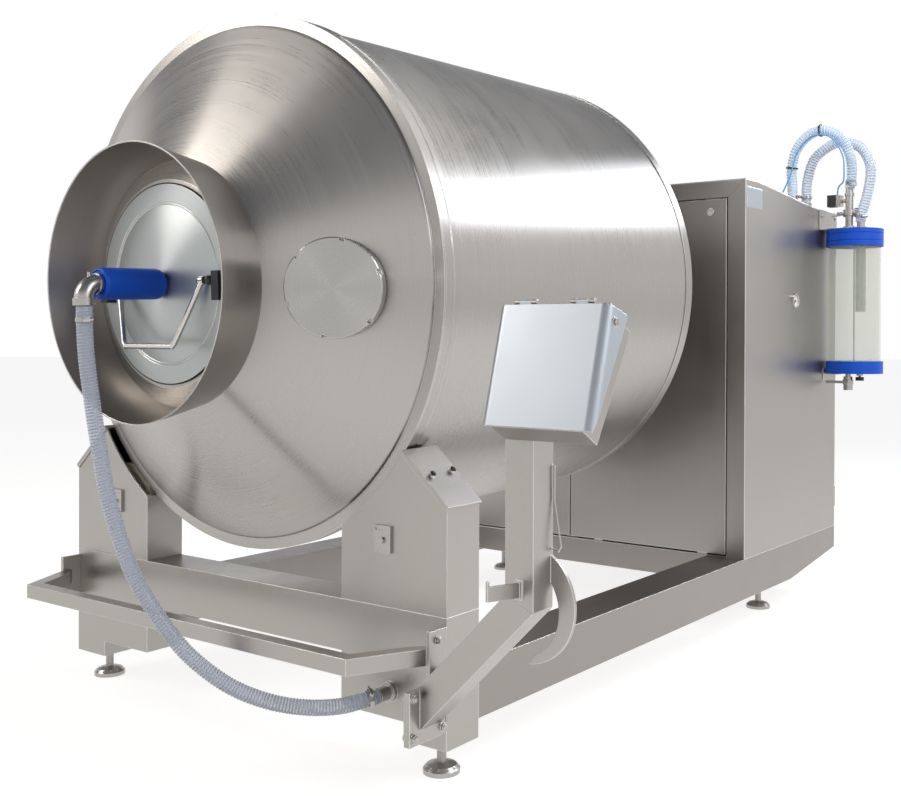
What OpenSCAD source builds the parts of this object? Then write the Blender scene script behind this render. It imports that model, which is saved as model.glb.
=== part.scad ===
// Vacuum marinator: a large tilted drum on two rollers, its drive cabinet,
// control arm, vacuum lead and liquid filter. Millimetres, +Z up, floor at z 0,
// +X to the right seen from the front, +Y from the drum's mouth to the rear.

/* [Frame] */
// half of the frame width
frame_half = 800; // [600:1:1000]
// depth of the front beam and of the roller pedestals
beam_depth = 134; // [100:1:200]
// top of the front beam
beam_top = 429; // [350:1:500]
// top of the long rails
rail_top = 286.5; // [250:0.5:320]
// underside of the long rails
rail_bottom = 137; // [110:1:160]
// underside of a rail at its rear end
rail_rear_bottom = 190; // [150:1:240]
// length of the rising rear part of a rail
rail_rise = 520; // [400:5:700]
// width of one long rail
rail_width = 157; // [120:1:180]
// rear end of the rails and the cabinet
rear_end = 2810; // [2600:10:3000]
// wall of the frame tubes
frame_wall = 6; // [4:0.5:10]
// inner side of a leg, from the middle
leg_inner = 429; // [380:1:480]
// underside of a leg
leg_bottom = 87; // [70:1:110]
// width of the lower part of a leg
leg_width = 145; // [120:1:180]
// underside of the upper part of a leg
leg_step = 136; // [120:1:160]

/* [Feet and stub] */
// front feet in from the side of the frame
front_foot_in = 73; // [60:1:90]
// front feet behind the front
front_foot_y = 70; // [60:1:80]
// rear feet in from the side of the frame
rear_foot_in = 130; // [100:1:140]
// rear feet before the rear end
rear_foot_before = 558; // [530:1:800]
// radius of a foot pad
foot_r = 49.5; // [40:0.5:60]
// radius of a levelling screw
screw_r = 12; // [10:0.5:15]
// stub of the front hose in from the side of the frame
stub_in = 191; // [170:1:210]
// height of the stub
stub_z = 208; // [190:1:230]
// radius of the stub pipe
stub_r = 18.9; // [15:0.1:25]

/* [Bumper] */
// front face of the bumper bar
bumper_front = -251.6; // [-300:0.1:-200]
// depth of the bumper tube
bumper_depth = 40; // [30:1:50]
// underside of the bumper tube
bumper_low = 322; // [300:1:340]
// height of the bumper tube
bumper_height = 42; // [30:1:50]
// wall of the bumper tube
bumper_wall = 4; // [3:0.5:6]
// thickness of its side plates
bumper_plate = 12; // [8:1:15]

/* [Pedestals] */
// height of a pedestal above the beam at its outer corner
pedestal_outer = 283; // [240:1:320]
// height of a pedestal above the beam at the top of its slope
pedestal_inner = 423; // [380:1:460]
// width of the slope
slope_run = 158; // [120:1:200]
// wall of the pedestal plates
pedestal_wall = 6; // [4:0.5:10]
// gap between a pedestal and the front rim of the drum
rim_gap = 7; // [4:0.5:12]

/* [Drum] */
// rise of the drum axis towards the rear, in degrees
drum_tilt = 2; // [0:0.5:6]
// gap between the front beam and the front rim of the drum
drum_gap = 85; // [60:1:120]
// outside radius of the shell
shell_r = 772; // [700:1:800]
// wall of the shell
shell_wall = 8; // [5:0.5:12]
// rise of the running ring and the front rim above the shell
ring_rise = 12; // [8:0.5:20]
// width of the running ring
ring_width = 58; // [40:1:90]
// thickness of the front rim
rim_t = 12; // [8:1:20]
// length of the cylindrical part
drum_length = 1415; // [1200:5:1600]
// depth of the groove in the middle of the running ring
ring_groove = 2; // [0.5:0.5:4]
// how far the front rim's face stands behind the end of the cone
rim_set = 6; // [2:0.5:8]
// radius of the bend between the cone and the rim
knuckle_r = 12; // [6:0.5:16]
// step from the shell in to the front cone
cone_step = 18; // [10:1:30]
// radius where the collar stands on the cone
collar_base_r = 350; // [320:1:380]
// how far the collar base is in front of the rim
collar_base_s = 218; // [180:1:260]
// radius of the free edge of the collar
collar_edge_r = 382; // [360:1:400]
// length of the collar along the axis
collar_length = 157; // [120:1:180]
// how far the mouth is in front of the collar base
mouth_step = 32; // [20:1:40]
// radius of the mouth
mouth_r = 240; // [220:1:260]
// radius of the lid
lid_r = 276.5; // [250:0.5:290]
// radius of the domed middle of the lid
dome_r = 224; // [200:1:240]
// distance of the port cap from the drum axis
port_r = 530.5; // [510:0.5:570]
// radius of the port cap
cap_r = 131; // [110:1:150]

/* [Rollers] */
// radius of a support roller
roller_r = 118.7; // [100:0.1:140]
// width of a support roller
roller_width = 48; // [40:1:52]
// angle of a roller from straight below the drum
roller_angle = 40.1; // [30:0.1:50]
// gap between a roller and the running ring
roller_gap = 0.3; // [0.1:0.1:1]
// radius of a roller axle
axle_r = 25; // [15:1:35]

/* [Cabinet] */
// front face of the cabinet
cabinet_front_y = 1817; // [1700:1:1900]
// top of the cabinet at the front
cabinet_top = 1764; // [1600:1:1900]
// top of the cabinet at the rear
cabinet_rear_top = 1698; // [1550:1:1850]
// where the roof starts to fall
roof_break = 1950; // [1850:5:2100]
// sheet of the cabinet
sheet = 3; // [2:0.5:5]
// width of the front frame beside the opening
bezel = 74; // [50:1:100]
// width of the front frame above the opening
top_bezel = 69; // [50:1:100]
// gap around a door or a loose panel
panel_gap = 5; // [2:0.5:8]
// radius of a panel lock
lock_r = 12; // [10:0.5:15]

/* [Control arm] */
// side of the square arm tube
arm_tube = 80; // [60:1:100]
// wall of the arm tube
arm_wall = 5; // [3:0.5:8]
// front face of the arm and the post
arm_front = -104; // [-140:1:-90]
// from the side of the frame to the post
arm_reach = 259.5; // [200:0.5:320]
// height of the arm's upper edge at the leg
arm_top = 285; // [270:1:300]
// underside of the flange plates
flange_low = 138; // [130:1:150]
// top of the flange plates
flange_top = 272; // [260:1:274]

/* [Control box] */
// from the left side of the post to the middle of the box
box_offset = 134.5; // [100:0.5:160]
// lower front edge of the box: behind the front, and height
box_y = -178; // [-200:1:-160]
box_z = 943; // [900:1:1000]
// how far the box leans back, in degrees
box_lean = 30.2; // [20:0.1:40]
// depth of the box
box_depth = 66; // [50:0.5:110]
// height of the box along its front
box_height = 286; // [250:1:320]
// half of the box width
box_half = 126; // [110:1:140]
// half of the cover width
cover_half = 151.5; // [140:0.5:170]
// radius of the cover's two front edges
cover_round = 22; // [10:1:30]
// radius of a push button
button_r = 11; // [8:0.5:15]

/* [Filter] */
// middle of the filter out from the side of the frame
filter_out = 130; // [125:1:180]
// middle of the filter before the rear end
filter_before = 120; // [100:5:300]
// radius of the blue caps
filter_cap_r = 122.5; // [100:0.5:125]
// radius of the clear bowl
filter_bowl_r = 113.5; // [90:0.5:120]
// wall of the clear bowl
bowl_wall = 6; // [4:0.5:10]
// top of the upper cap
filter_top = 1626; // [1600:1:1700]
// height of the upper cap
head_height = 76; // [60:1:90]
// underside of the lower cap
base_low = 990; // [950:1:1050]
// height of the lower cap
base_height = 54; // [40:1:70]
// depth of the seats that hold the bowl
seat_depth = 12; // [8:1:20]

/* [Clearances] */
// running fit of a pin or shaft, on the radius
fit = 0.05; // [0.02:0.01:0.1]
// gap between pieces that only face each other
gap = 0.3; // [0.2:0.05:0.5]

/* [Hidden] */
$fn = 72;
steel = [0.74, 0.74, 0.72];
dark_steel = [0.5, 0.5, 0.48];
blue = [0.02, 0.3, 0.75];
black = [0.08, 0.08, 0.08];
clear = [0.85, 0.93, 0.95, 0.5];
// the origin lies on the floor, below the middle of the machine's box
origin_x = 273.2;
origin_y = 1156.3;
foot_x = frame_half - front_foot_in;
rear_foot_x = frame_half - rear_foot_in;
rear_foot_y = rear_end - rear_foot_before;
rear_foot_z = rail_bottom - 7;
stub_x = frame_half - stub_in;
pedestal_outer_top = beam_top + pedestal_outer;
pedestal_inner_top = beam_top + pedestal_inner;
ring_r = shell_r + ring_rise;
cone_r = shell_r - cone_step;
drum_height = beam_top + drum_gap + ring_r;
mouth_s = collar_base_s + mouth_step;
port_lean = atan(collar_base_s / (cone_r - collar_base_r));
port_az = 2.4;
pivot_s = -25;
pivot_h = 6;
pivot_pin = 5;
pipe_r = 20;
handle_lean = 13.6;
roller_c = ring_r + roller_gap + roller_r;
roller_x = roller_c * sin(roller_angle);
roller_h = -roller_c * cos(roller_angle);
axle_z = drum_height + roller_h * cos(drum_tilt) - 1.7;
ring_mid = rim_t + ring_width / 2;
shaft_z = drum_height + cabinet_front_y * tan(drum_tilt);
shaft_r = 70;
drive_s = cabinet_front_y + 333;
opening_x = frame_half - bezel;
opening_z = cabinet_top - top_bezel;
lock_x = opening_x - 73;
lock_z = opening_z - 54;
door_hinges = [420, 990, 1560];
door_hinge_x = frame_half - 7;
door_hinge_y = rear_end + 6;
door_pin = 4;
gauge_y = rear_end - 498;
gauge_z = 1302;
post_left = frame_half + arm_reach;
post_right = post_left + arm_tube;
post_mid = post_left + arm_tube / 2;
arm_rear = arm_front + arm_tube;
arm_drop = arm_tube * sqrt(2);
arm_offset = arm_top - frame_half;
box_x = post_left + box_offset;
cover_y = box_y - 6;
cover_z = box_z + 3;
hinge_y = -105;
hinge_z = 1226;
hinge_pin = 2.5;
knuckle_x = 77;
catch_y = -92;
catch_z = 1180;
cover_lean = atan((hinge_y - 4 - cover_y) / (hinge_z - 4 - cover_z));
filter_x = frame_half + filter_out;
filter_y = rear_end - filter_before;
in_x = filter_x - 25;
out_x = filter_x + 27;
rod_x = filter_x - 2;
drain_x = filter_x - 27;
bleed_x = filter_x + 25;
// hose sockets and air hole in the roof
sockets = [[frame_half - 146, rear_end - 150], [frame_half - 100, rear_end - 105]];
air_hole = [frame_half - 215, rear_end - 170];
socket_top = cabinet_top - 2;
front_hose_r = 21.5;
filter_hose_r = 24;
// routes of the hoses and the air line: offsets from what their two ends are fixed to
function moved(p, base) = [for (q = p) q + base];
front_route = concat(
    moved([[0, -505.5, -75], [0, -505, -118], [0, -500, -198], [3, -490, -288], [15, -480, -398],
        [28, -470, -498], [45, -458, -598], [85, -430, -748], [130, -398, -851]],
        [0, 0, drum_height]),
    moved([[-416, -352, 130], [-352, -307, 60], [-288, -262, 13], [-212, -208, -18],
        [-135, -158, -28], [-64, -122, -20], [-19, -92, -6], [-3, -70, -1], [0, -52, 0]],
        [stub_x, 0, stub_z]));
intake_route = concat(
    moved([[0, 0, 0], [-2, -2, 78], [-4, -5, 148], [20, -8, 238], [81, -8, 300]],
        [sockets[0][0], sockets[0][1], socket_top]),
    moved([[-99, -38, 258], [-31, -38, 219], [12, -30, 140], [16, -15, 51], [1, 0, 0]],
        [in_x, filter_y, filter_top + 189]));
outlet_route = concat(
    moved([[0, 0, 0], [4, 5, 103], [30, 20, 198], [90, 30, 250], [145, 30, 268]],
        [sockets[1][0], sockets[1][1], socket_top]),
    moved([[-66, 45, 359], [-12, 40, 332], [28, 30, 265], [35, 20, 194], [19, 10, 96],
        [3, 0, 39], [0, 0, 0]], [out_x, filter_y, filter_top + 35]));
air_route = concat(
    moved([[0, 0, 0], [19, -8, 80], [70, -15, 180], [100, -18, 275], [157, -20, 340]],
        [air_hole[0], air_hole[1], cabinet_rear_top + 2]),
    moved([[-40, -70, 266], [12, -68, 232], [47, -64, 161], [50, -57, 101], [47, -51, 63],
        [38, -41, 49], [25, -28, 44], [13, -14, 39], [4, -4, 26], [0, 0, 0]],
        [in_x - 55, filter_y, filter_top + 158]));

// Helpers
module placed() {
    translate([-origin_x, -origin_y, 0]) children();
}
module box(x0, x1, y0, y1, z0, z1) {
    translate([x0, y0, z0]) cube([x1 - x0, y1 - y0, z1 - z0]);
}
// shape in the x-z plane, pushed from y0 to y1
module xz(pts, y0, y1) {
    translate([0, y1, 0]) rotate([90, 0, 0]) linear_extrude(y1 - y0) polygon(pts);
}
// shape in the y-z plane, pushed from x0 to x1
module yz(pts, x0, x1) {
    translate([x0, 0, 0]) rotate([90, 0, 90]) linear_extrude(x1 - x0) polygon(pts);
}
module cyl_x(r, x0, x1, y, z) {
    translate([x0, y, z]) rotate([0, 90, 0]) cylinder(r = r, h = x1 - x0);
}
module cyl_y(r, y0, y1, x, z) {
    translate([x, y0, z]) rotate([-90, 0, 0]) cylinder(r = r, h = y1 - y0);
}
module cyl_z(r, z0, z1, x, y) {
    translate([x, y, z0]) cylinder(r = r, h = z1 - z0);
}
module rotate_about(x, y, a) {
    translate([x, y, 0]) rotate([0, 0, a]) translate([-x, -y, 0]) children();
}
module mirror_x() {
    mirror([1, 0, 0]) children();
}
// the drum's own space: x, distance along the axis from the rim, height above the axis
module in_drum() {
    translate([0, 1, drum_height]) rotate([drum_tilt, 0, 0]) children();
}
// the same, with distances along the axis from the drum's mouth
module in_mouth() {
    in_drum() translate([0, -mouth_s, 0]) children();
}
// points are [radius, distance along the axis]
module turned(pts) {
    rotate([-90, 0, 0]) rotate_extrude($fn = 144) polygon(pts);
}
// rod from a to b
module rod(a, b, r) {
    d = b - a;
    n = norm(d);
    translate(a) rotate([0, acos(d[2] / n), atan2(d[1], d[0])]) cylinder(r = r, h = n);
}
// height of the roof's upper face
function roof_z(y) = cabinet_top
    - (y - roof_break) * (cabinet_top - cabinet_rear_top) / (rear_end - roof_break);

// Hoses: a smooth line through the points of a route, with an even ring of sides around it
function unit(v) = v / norm(v);
function knot(p, i) = p[max(0, min(len(p) - 1, i))];
function curve_at(p, i, t) =
    let (a = knot(p, i - 1), b = knot(p, i), c = knot(p, i + 1), d = knot(p, i + 2))
    0.5 * (2 * b + (c - a) * t + (2 * a - 5 * b + 4 * c - d) * t * t
        + (3 * b - a - 3 * c + d) * t * t * t);
function curve(p, n) = concat([for (i = [0:len(p) - 2], k = [0:n - 1]) curve_at(p, i, k / n)],
    [p[len(p) - 1]]);
function tangents(c) = [for (i = [0:len(c) - 1]) unit(c[min(len(c) - 1, i + 1)] - c[max(0, i - 1)])];
function across(n, t) = unit(n - (n * t) * t);
function frames(ts, n0) = [for (i = 0, n = across(n0, ts[0]); i < len(ts);
    i = i + 1, n = i < len(ts) ? across(n, ts[i]) : n) n];
module sweep(p, r, n, sides, n0) {
    c = curve(p, n);
    ts = tangents(c);
    ns = frames(ts, n0);
    m = len(c);
    pts = [for (i = [0:m - 1], k = [0:sides - 1])
        c[i] + r * cos(360 * k / sides) * ns[i] + r * sin(360 * k / sides) * cross(ts[i], ns[i])];
    side = [for (i = [0:m - 2], k = [0:sides - 1])
        [i * sides + k, i * sides + (k + 1) % sides,
         (i + 1) * sides + (k + 1) % sides, (i + 1) * sides + k]];
    first = [[for (k = [sides - 1:-1:0]) k]];
    last = [[for (k = [0:sides - 1]) (m - 1) * sides + k]];
    outward = [for (f = concat(side, first, last)) [for (j = [len(f) - 1:-1:0]) f[j]]];
    polyhedron(points = pts, faces = outward, convexity = 10);
}

// Frame
// beam with its two legs, seen from the front
module beam_profile() {
    low_x = frame_half - leg_width;
    polygon([[-frame_half, leg_bottom], [-low_x, leg_bottom], [-low_x, leg_step],
        [-leg_inner, leg_step], [-leg_inner, rail_top], [leg_inner, rail_top],
        [leg_inner, leg_step], [low_x, leg_step], [low_x, leg_bottom], [frame_half, leg_bottom],
        [frame_half, beam_top], [-frame_half, beam_top]]);
}
module front_beam() color(steel) {
    w = frame_wall;
    leg_half = (frame_half - leg_inner) / 2;
    low_mid = frame_half - leg_width / 2;
    difference() {
        translate([0, beam_depth, 0]) rotate([90, 0, 0]) linear_extrude(beam_depth) beam_profile();
        // hollow along the beam, open downwards through the legs
        box(-frame_half + w, frame_half - w, w, beam_depth - w, rail_top + w, beam_top - w);
        for (s = [-1, 1]) {
            translate([s * (frame_half - leg_half), 0, 0])
                box(-leg_half + w, leg_half - w, w, beam_depth - w, leg_step + w, rail_top + 20);
            translate([s * low_mid, 0, 0])
                box(-leg_width / 2 + w, leg_width / 2 - w, w, beam_depth - w,
                    leg_bottom + w, leg_step + 14 + w);
            // levelling screw hole
            cyl_z(screw_r + gap, leg_bottom - 1, leg_bottom + w + 1, s * foot_x, front_foot_y);
        }
        // hole for the vacuum stub
        cyl_y(stub_r + 0.1, -1, w + 1, stub_x, stub_z);
    }
    // stub pipe for the front hose
    difference() {
        union() {
            cyl_y(stub_r, -52, w, stub_x, stub_z);
            cyl_y(stub_r + 7.1, -14, 0, stub_x, stub_z);
        }
        cyl_y(stub_r - 4.9, -60, w + 5, stub_x, stub_z);
    }
}

module pedestal_shape(inset) {
    i = inset;
    inner_z = pedestal_inner_top - i * 1.34;
    polygon([[leg_inner + i, beam_top], [frame_half - i, beam_top],
        [frame_half - i, pedestal_outer_top - i * 0.4], [frame_half - slope_run, inner_z],
        [leg_inner + i, inner_z]]);
}
module pedestal_right_shape() {
    w = pedestal_wall;
    difference() {
        translate([0, beam_depth, 0]) rotate([90, 0, 0]) linear_extrude(beam_depth) pedestal_shape(0);
        translate([0, beam_depth - w, -1]) rotate([90, 0, 0])
            linear_extrude(beam_depth - 2 * w) pedestal_shape(w);
        // the drum turns inside the pedestals
        in_drum() cyl_y(ring_r + rim_gap, -120, 320, 0, 0);
        // axle holes
        in_drum() cyl_y(axle_r + gap, -160, 260, roller_x, roller_h);
    }
}
module roller_pedestals() color(steel) {
    pedestal_right_shape();
    mirror_x() pedestal_right_shape();
}

// folded cover on the slope of a pedestal, with two cap screws
module pedestal_cover_shape() {
    rise = pedestal_inner_top - pedestal_outer_top;
    a = atan2(rise, slope_run);
    slope = norm([slope_run, rise]);
    lip = 3.7;
    difference() {
        translate([frame_half, 0, pedestal_outer_top + 0.2]) rotate([0, a, 0]) {
            box(-slope - 2, 6, -4, beam_depth + 4, 0, 4);
            // front and rear lips
            box(-slope - 2, 6, -4, -4 + lip, -10, 0.5);
            box(-slope - 2, 6, beam_depth + 4 - lip, beam_depth + 4, -10, 0.5);
            for (p = [[-104, 28], [-109, beam_depth - 19]]) {
                cyl_z(7, 3.5, 7, p[0], p[1]);
                cyl_z(4.5, 3.5, 13, p[0], p[1]);
            }
        }
        in_drum() cyl_y(ring_r + rim_gap, -120, 320, 0, 0);
    }
}
module pedestal_covers() color(steel) {
    pedestal_cover_shape();
    mirror_x() pedestal_cover_shape();
}

module rail_right_shape() {
    w = frame_wall;
    bend_y = rear_end - rail_rise;
    bend_z = rail_bottom - 7;
    difference() {
        yz([[beam_depth, rail_bottom], [bend_y, bend_z], [rear_end, rail_rear_bottom],
            [rear_end, rail_top], [beam_depth, rail_top]], frame_half - rail_width, frame_half);
        yz([[beam_depth - 1, rail_bottom + w], [bend_y - 2, bend_z + w],
            [rear_end - w, rail_rear_bottom + w + 2], [rear_end - w, rail_top - w],
            [beam_depth - 1, rail_top - w]], frame_half - rail_width + w, frame_half - w);
        cyl_z(screw_r + gap, bend_z - 10, bend_z + 20, rear_foot_x, rear_foot_y);
    }
}
module long_rails() color(steel) {
    rail_right_shape();
    mirror_x() rail_right_shape();
}

// foot with a notched pad, its screw and its nut below the frame
module foot(x, y, under) {
    translate([x, y, 0]) {
        difference() {
            union() {
                cylinder(r = foot_r, h = 12);
                translate([0, 0, 12]) cylinder(r1 = foot_r, r2 = foot_r - 9.5, h = 10);
                translate([0, 0, 22]) cylinder(r1 = foot_r - 9.5, r2 = 20, h = 6);
            }
            for (k = [0:11]) rotate([0, 0, 30 * k]) translate([foot_r - 5, 0, 16])
                cylinder(r = 3, h = 20);
        }
        cylinder(r = screw_r, h = under + 40);
        translate([0, 0, under - 15]) cylinder(r = screw_r + 7, h = 14.8, $fn = 6);
    }
}
module levelling_feet() color(dark_steel) for (s = [-1, 1]) {
    foot(s * foot_x, front_foot_y, leg_bottom);
    foot(s * rear_foot_x, rear_foot_y, rear_foot_z);
}

// bumper in front of the frame: bent square tube on two side plates
module bumper_bar() color(steel) {
    d = bumper_depth;
    w = bumper_wall;
    y0 = bumper_front;
    side = frame_half - bumper_plate;
    y1 = -70;
    y2 = y1 + d / 0.88 - 8;
    difference() {
        translate([0, 0, bumper_low]) linear_extrude(bumper_height)
            polygon([[-side + 98, y0], [side - 98, y0], [side, y1], [side, y2], [side - 46, y1],
                [side - 123, y0 + d], [-side + 123, y0 + d], [-side + 46, y1], [-side, y2],
                [-side, y1]]);
        translate([0, 0, bumper_low + w]) linear_extrude(bumper_height - 2 * w)
            polygon([[-side + 100.5, y0 + w], [side - 100.5, y0 + w], [side - 4, y1 + 1],
                [side - 40, y1 - 2], [side - 120, y0 + d - w], [-side + 120, y0 + d - w],
                [-side + 40, y1 - 2], [-side + 4, y1 + 1]]);
    }
    // side plates, each with two screws
    for (s = [-1, 1]) translate([s > 0 ? side : -frame_half, 0, 0]) {
        difference() {
            box(0, bumper_plate, -66, -0.2, bumper_low - 47, bumper_low + 86);
            for (z = [bumper_low - 18, bumper_low + 60]) cyl_x(6.5, -1, bumper_plate + 1, -36, z);
        }
        for (z = [bumper_low - 18, bumper_low + 60]) {
            cyl_x(10, s > 0 ? bumper_plate : -7, s > 0 ? bumper_plate + 7 : 0, -36, z);
            cyl_x(6.5, 0, bumper_plate, -36, z);
        }
    }
}

// Control arm
module control_arm() color(steel) {
    w = arm_wall;
    slant = w * sqrt(2);
    rise = post_left + arm_offset;
    low = arm_top - arm_drop;
    low_end = post_right + arm_offset - arm_drop;
    plate = 9;
    y0 = arm_front - 38;
    bolts = [for (y = [y0 + 15, -14], z = [flange_low + 20, flange_top - 15]) [y, z]];
    difference() {
        xz([[frame_half, arm_top], [post_left, rise], [post_right, low_end], [frame_half, low]],
            arm_front, arm_rear);
        xz([[frame_half + w, arm_top + w - slant], [post_left, rise - slant],
            [post_right - 10, low_end - 10 + slant], [frame_half + w, low + w + slant]],
            arm_front + w, arm_rear - w);
    }
    // two flange plates bolted together, the inner one welded to the leg
    difference() {
        box(frame_half - 19, frame_half - 19 + plate, y0, -0.2, flange_low, flange_top);
        for (b = bolts) cyl_x(7, frame_half - 20, frame_half + 1, b[0], b[1]);
    }
    difference() {
        box(frame_half - plate - 0.7, frame_half, y0, -4, flange_low, flange_top);
        for (b = bolts) cyl_x(7, frame_half - 20, frame_half + 1, b[0], b[1]);
    }
    for (b = bolts) {
        cyl_x(7, frame_half - 19, frame_half, b[0], b[1]);
        cyl_x(11, frame_half, frame_half + 8, b[0], b[1]);
        cyl_x(11, frame_half - 27, frame_half - 19, b[0], b[1]);
    }
}

module control_post() color(steel) {
    w = arm_wall;
    zi = post_left + arm_offset + gap;
    zo = post_right + arm_offset - arm_drop + gap;
    // the top follows the underside of the leaning box
    top = [for (y = [arm_front, arm_rear]) box_z - 0.4 - box_depth * sin(box_lean)
        + (y - box_y - box_depth * cos(box_lean)) / tan(box_lean)];
    difference() {
        intersection() {
            xz([[post_left, zi], [post_right, zo], [post_right, 1100], [post_left, 1100]],
                arm_front, arm_rear);
            yz([[arm_front, 400], [arm_rear, 400], [arm_rear, top[1]], [arm_front, top[0]]],
                post_left - 1, post_right + 1);
        }
        intersection() {
            xz([[post_left + w, zi + 8], [post_right - w, zo + 8], [post_right - w, 1100],
                [post_left + w, 1100]], arm_front + w, arm_rear - w);
            yz([[arm_front, 400], [arm_rear, 400], [arm_rear, top[1] + 60],
                [arm_front, top[0] + 60]], post_left - 1, post_right + 1);
        }
    }
    // flat hook that points forwards, on a small plate
    hook_x = post_mid - 1.5;
    yz([[arm_front, 543], [arm_front - 126, 556], [arm_front - 126, 602], [arm_front - 120, 602],
        [arm_front - 120, 590], [arm_front, 578]], hook_x, hook_x + 6);
    box(hook_x - 8, hook_x + 12, arm_front - 4, arm_front, 538, 583);
    // crescent hook for the hose, behind the post
    difference() {
        intersection() {
            cyl_y(145, arm_rear - 9, arm_rear, post_left + 2.5, 512);
            union() {
                box(post_right, post_right + 160, -60, 0, 330, 640);
                xz([[post_left - 7.5, 330], [post_right + 160, 330], [post_right + 160, 520],
                    [post_right + 5.5, 470]], -60, 0);
            }
        }
        cyl_y(120, arm_rear - 20, arm_rear + 10, post_left - 16.5, 500);
    }
    // spring clip of bent wire
    clip = [[post_right - 1, -26, 845], [post_right + 6, -26, 842], [post_right + 5, -26, 765],
        [post_right + 22, -22, 655], [post_right + 16, -24, 644], [post_right - 1, -26, 650]];
    for (i = [0:len(clip) - 2]) rod(clip[i], clip[i + 1], 2.5);
    for (i = [1:len(clip) - 2]) translate(clip[i]) sphere(r = 2.9);
}

// leaning space of the control box: x from its middle, depth into the box, height along its front
module in_box() {
    translate([box_x, box_y, box_z]) rotate([-box_lean, 0, 0]) children();
}
module control_box() color(steel) {
    h = box_half;
    in_box() difference() {
        box(-h, h, 0, box_depth, 0, box_height);
        box(-h + sheet, h - sheet, -1, box_depth - sheet, sheet, box_height - sheet);
    }
    // roof that reaches forwards to the hinge of the cover
    y0 = hinge_y + 4;
    roof_half = cover_half - 4.5;
    yz([[y0, hinge_z - 7], [y0, hinge_z - 4], [-33, 1189.5], [-35, 1187]],
        box_x - roof_half, box_x + roof_half);
    // fixed hinge knuckles and their pins
    for (x = [-knuckle_x, knuckle_x]) {
        for (k = [-24, 24]) {
            cyl_x(5, box_x + x + k - 7.5, box_x + x + k + 7.5, hinge_y + 2, hinge_z + 1);
            translate([box_x + x + k - 7.5, hinge_y + 2, hinge_z - 7]) cube([15, 4, 6]);
        }
        cyl_x(hinge_pin, box_x + x - 31, box_x + x + 31, hinge_y + 2, hinge_z + 1);
    }
}
// plate that closes the front of the box, with its screen
module control_panel() color(dark_steel) in_box() {
    h = box_half - sheet - gap;
    difference() {
        box(-h, h, gap, sheet + gap, sheet + gap, box_height - sheet - gap);
        for (x = [-60, 0, 60]) cyl_y(button_r + 0.5, -1, 5, x, 55);
    }
    box(-85, 85, -3.5, gap, 115, 245);
}
// the cover's outline from above: its two front edges are rounded
module cover_slab(inset) {
    h = cover_half - inset;
    r = cover_round - inset;
    translate([box_x, cover_y, cover_z]) rotate([-cover_lean, 0, 0]) {
        box(-h + r, h - r, inset, 260, -60, 330);
        box(-h, h, r + inset, 260, -60, 330);
        for (s = [-1, 1]) cyl_z(r, -60, 330, s * (h - r), r + inset);
    }
}
module control_cover() color(steel) {
    h = cover_half;
    outer = [[cover_y, cover_z], [hinge_y - 4, hinge_z - 4], [hinge_y + 1, hinge_z - 7.5],
        [-37, 1196], [-33.5, 1192], [box_y + 2, box_z - 2]];
    inner = [[cover_y - 20, box_z - 13], [hinge_y - 20, hinge_z + 10], [-10, 1215],
        [-25, 1192], [box_y + 28, box_z - 13]];
    difference() {
        intersection() {
            yz(outer, box_x - h - 1, box_x + h + 1);
            cover_slab(0);
        }
        intersection() {
            yz(inner, box_x - h - 2, box_x + h + 2);
            cover_slab(sheet);
        }
        cyl_x(6, box_x + h - 10, box_x + h + 1, catch_y, catch_z);
        // room for the fixed knuckles
        for (x = [-knuckle_x, knuckle_x]) for (k = [-24, 24])
            cyl_x(6.5, box_x + x + k - 8.5, box_x + x + k + 8.5, hinge_y + 2, hinge_z + 1);
    }
    // hinge knuckles of the cover
    for (x = [-knuckle_x, knuckle_x]) difference() {
        union() {
            cyl_x(5, box_x + x - 15.5, box_x + x + 15.5, hinge_y + 2, hinge_z + 1);
            translate([box_x + x - 15.5, hinge_y - 3.2, hinge_z - 8]) cube([31, 4, 8]);
        }
        cyl_x(hinge_pin + fit, box_x + x - 20, box_x + x + 20, hinge_y + 2, hinge_z + 1);
    }
    // bush of the catch on the right side
    difference() {
        cyl_x(12, box_x + h - sheet, box_x + h + 3, catch_y, catch_z);
        cyl_x(5 + fit, box_x + h - 10, box_x + h + 10, catch_y, catch_z);
    }
}
// turning catch of the cover: a slotted head outside, a cam inside
module cover_catch() color(dark_steel) {
    x = box_x + cover_half;
    difference() {
        union() {
            cyl_x(8, x + 3.3, x + 8, catch_y, catch_z);
            cyl_x(5, x - 8, x + 5, catch_y, catch_z);
        }
        box(x + 6, x + 9, catch_y - 1, catch_y + 1, catch_z - 10, catch_z + 10);
    }
    box(x - 8, x - 5, catch_y - 5, catch_y + 5, catch_z - 18, catch_z + 5);
}
module push_button(x, r, l) in_box() {
    cyl_y(r, -l, -6, x, 55);
    cyl_y(button_r, -6.5, 30, x, 55);
}
module start_button() color([0.1, 0.55, 0.2]) push_button(-60, button_r + 2, 13);
module stop_button() color([0.75, 0.1, 0.08]) push_button(0, button_r + 2, 13);
module emergency_button() color([0.8, 0.05, 0.05]) in_box() {
    cyl_y(button_r, -6.5, 30, 60, 55);
    translate([60, -6, 55]) rotate([90, 0, 0]) cylinder(r1 = button_r + 4, r2 = button_r + 8, h = 7);
}

// Cabinet
module side_shape(x0, x1) {
    y0 = cabinet_front_y + sheet;
    yz([[y0, rail_top], [rear_end, rail_top], [rear_end, cabinet_rear_top - sheet],
        [roof_break, cabinet_top - sheet], [y0, cabinet_top - sheet]], x0, x1);
}
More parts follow.
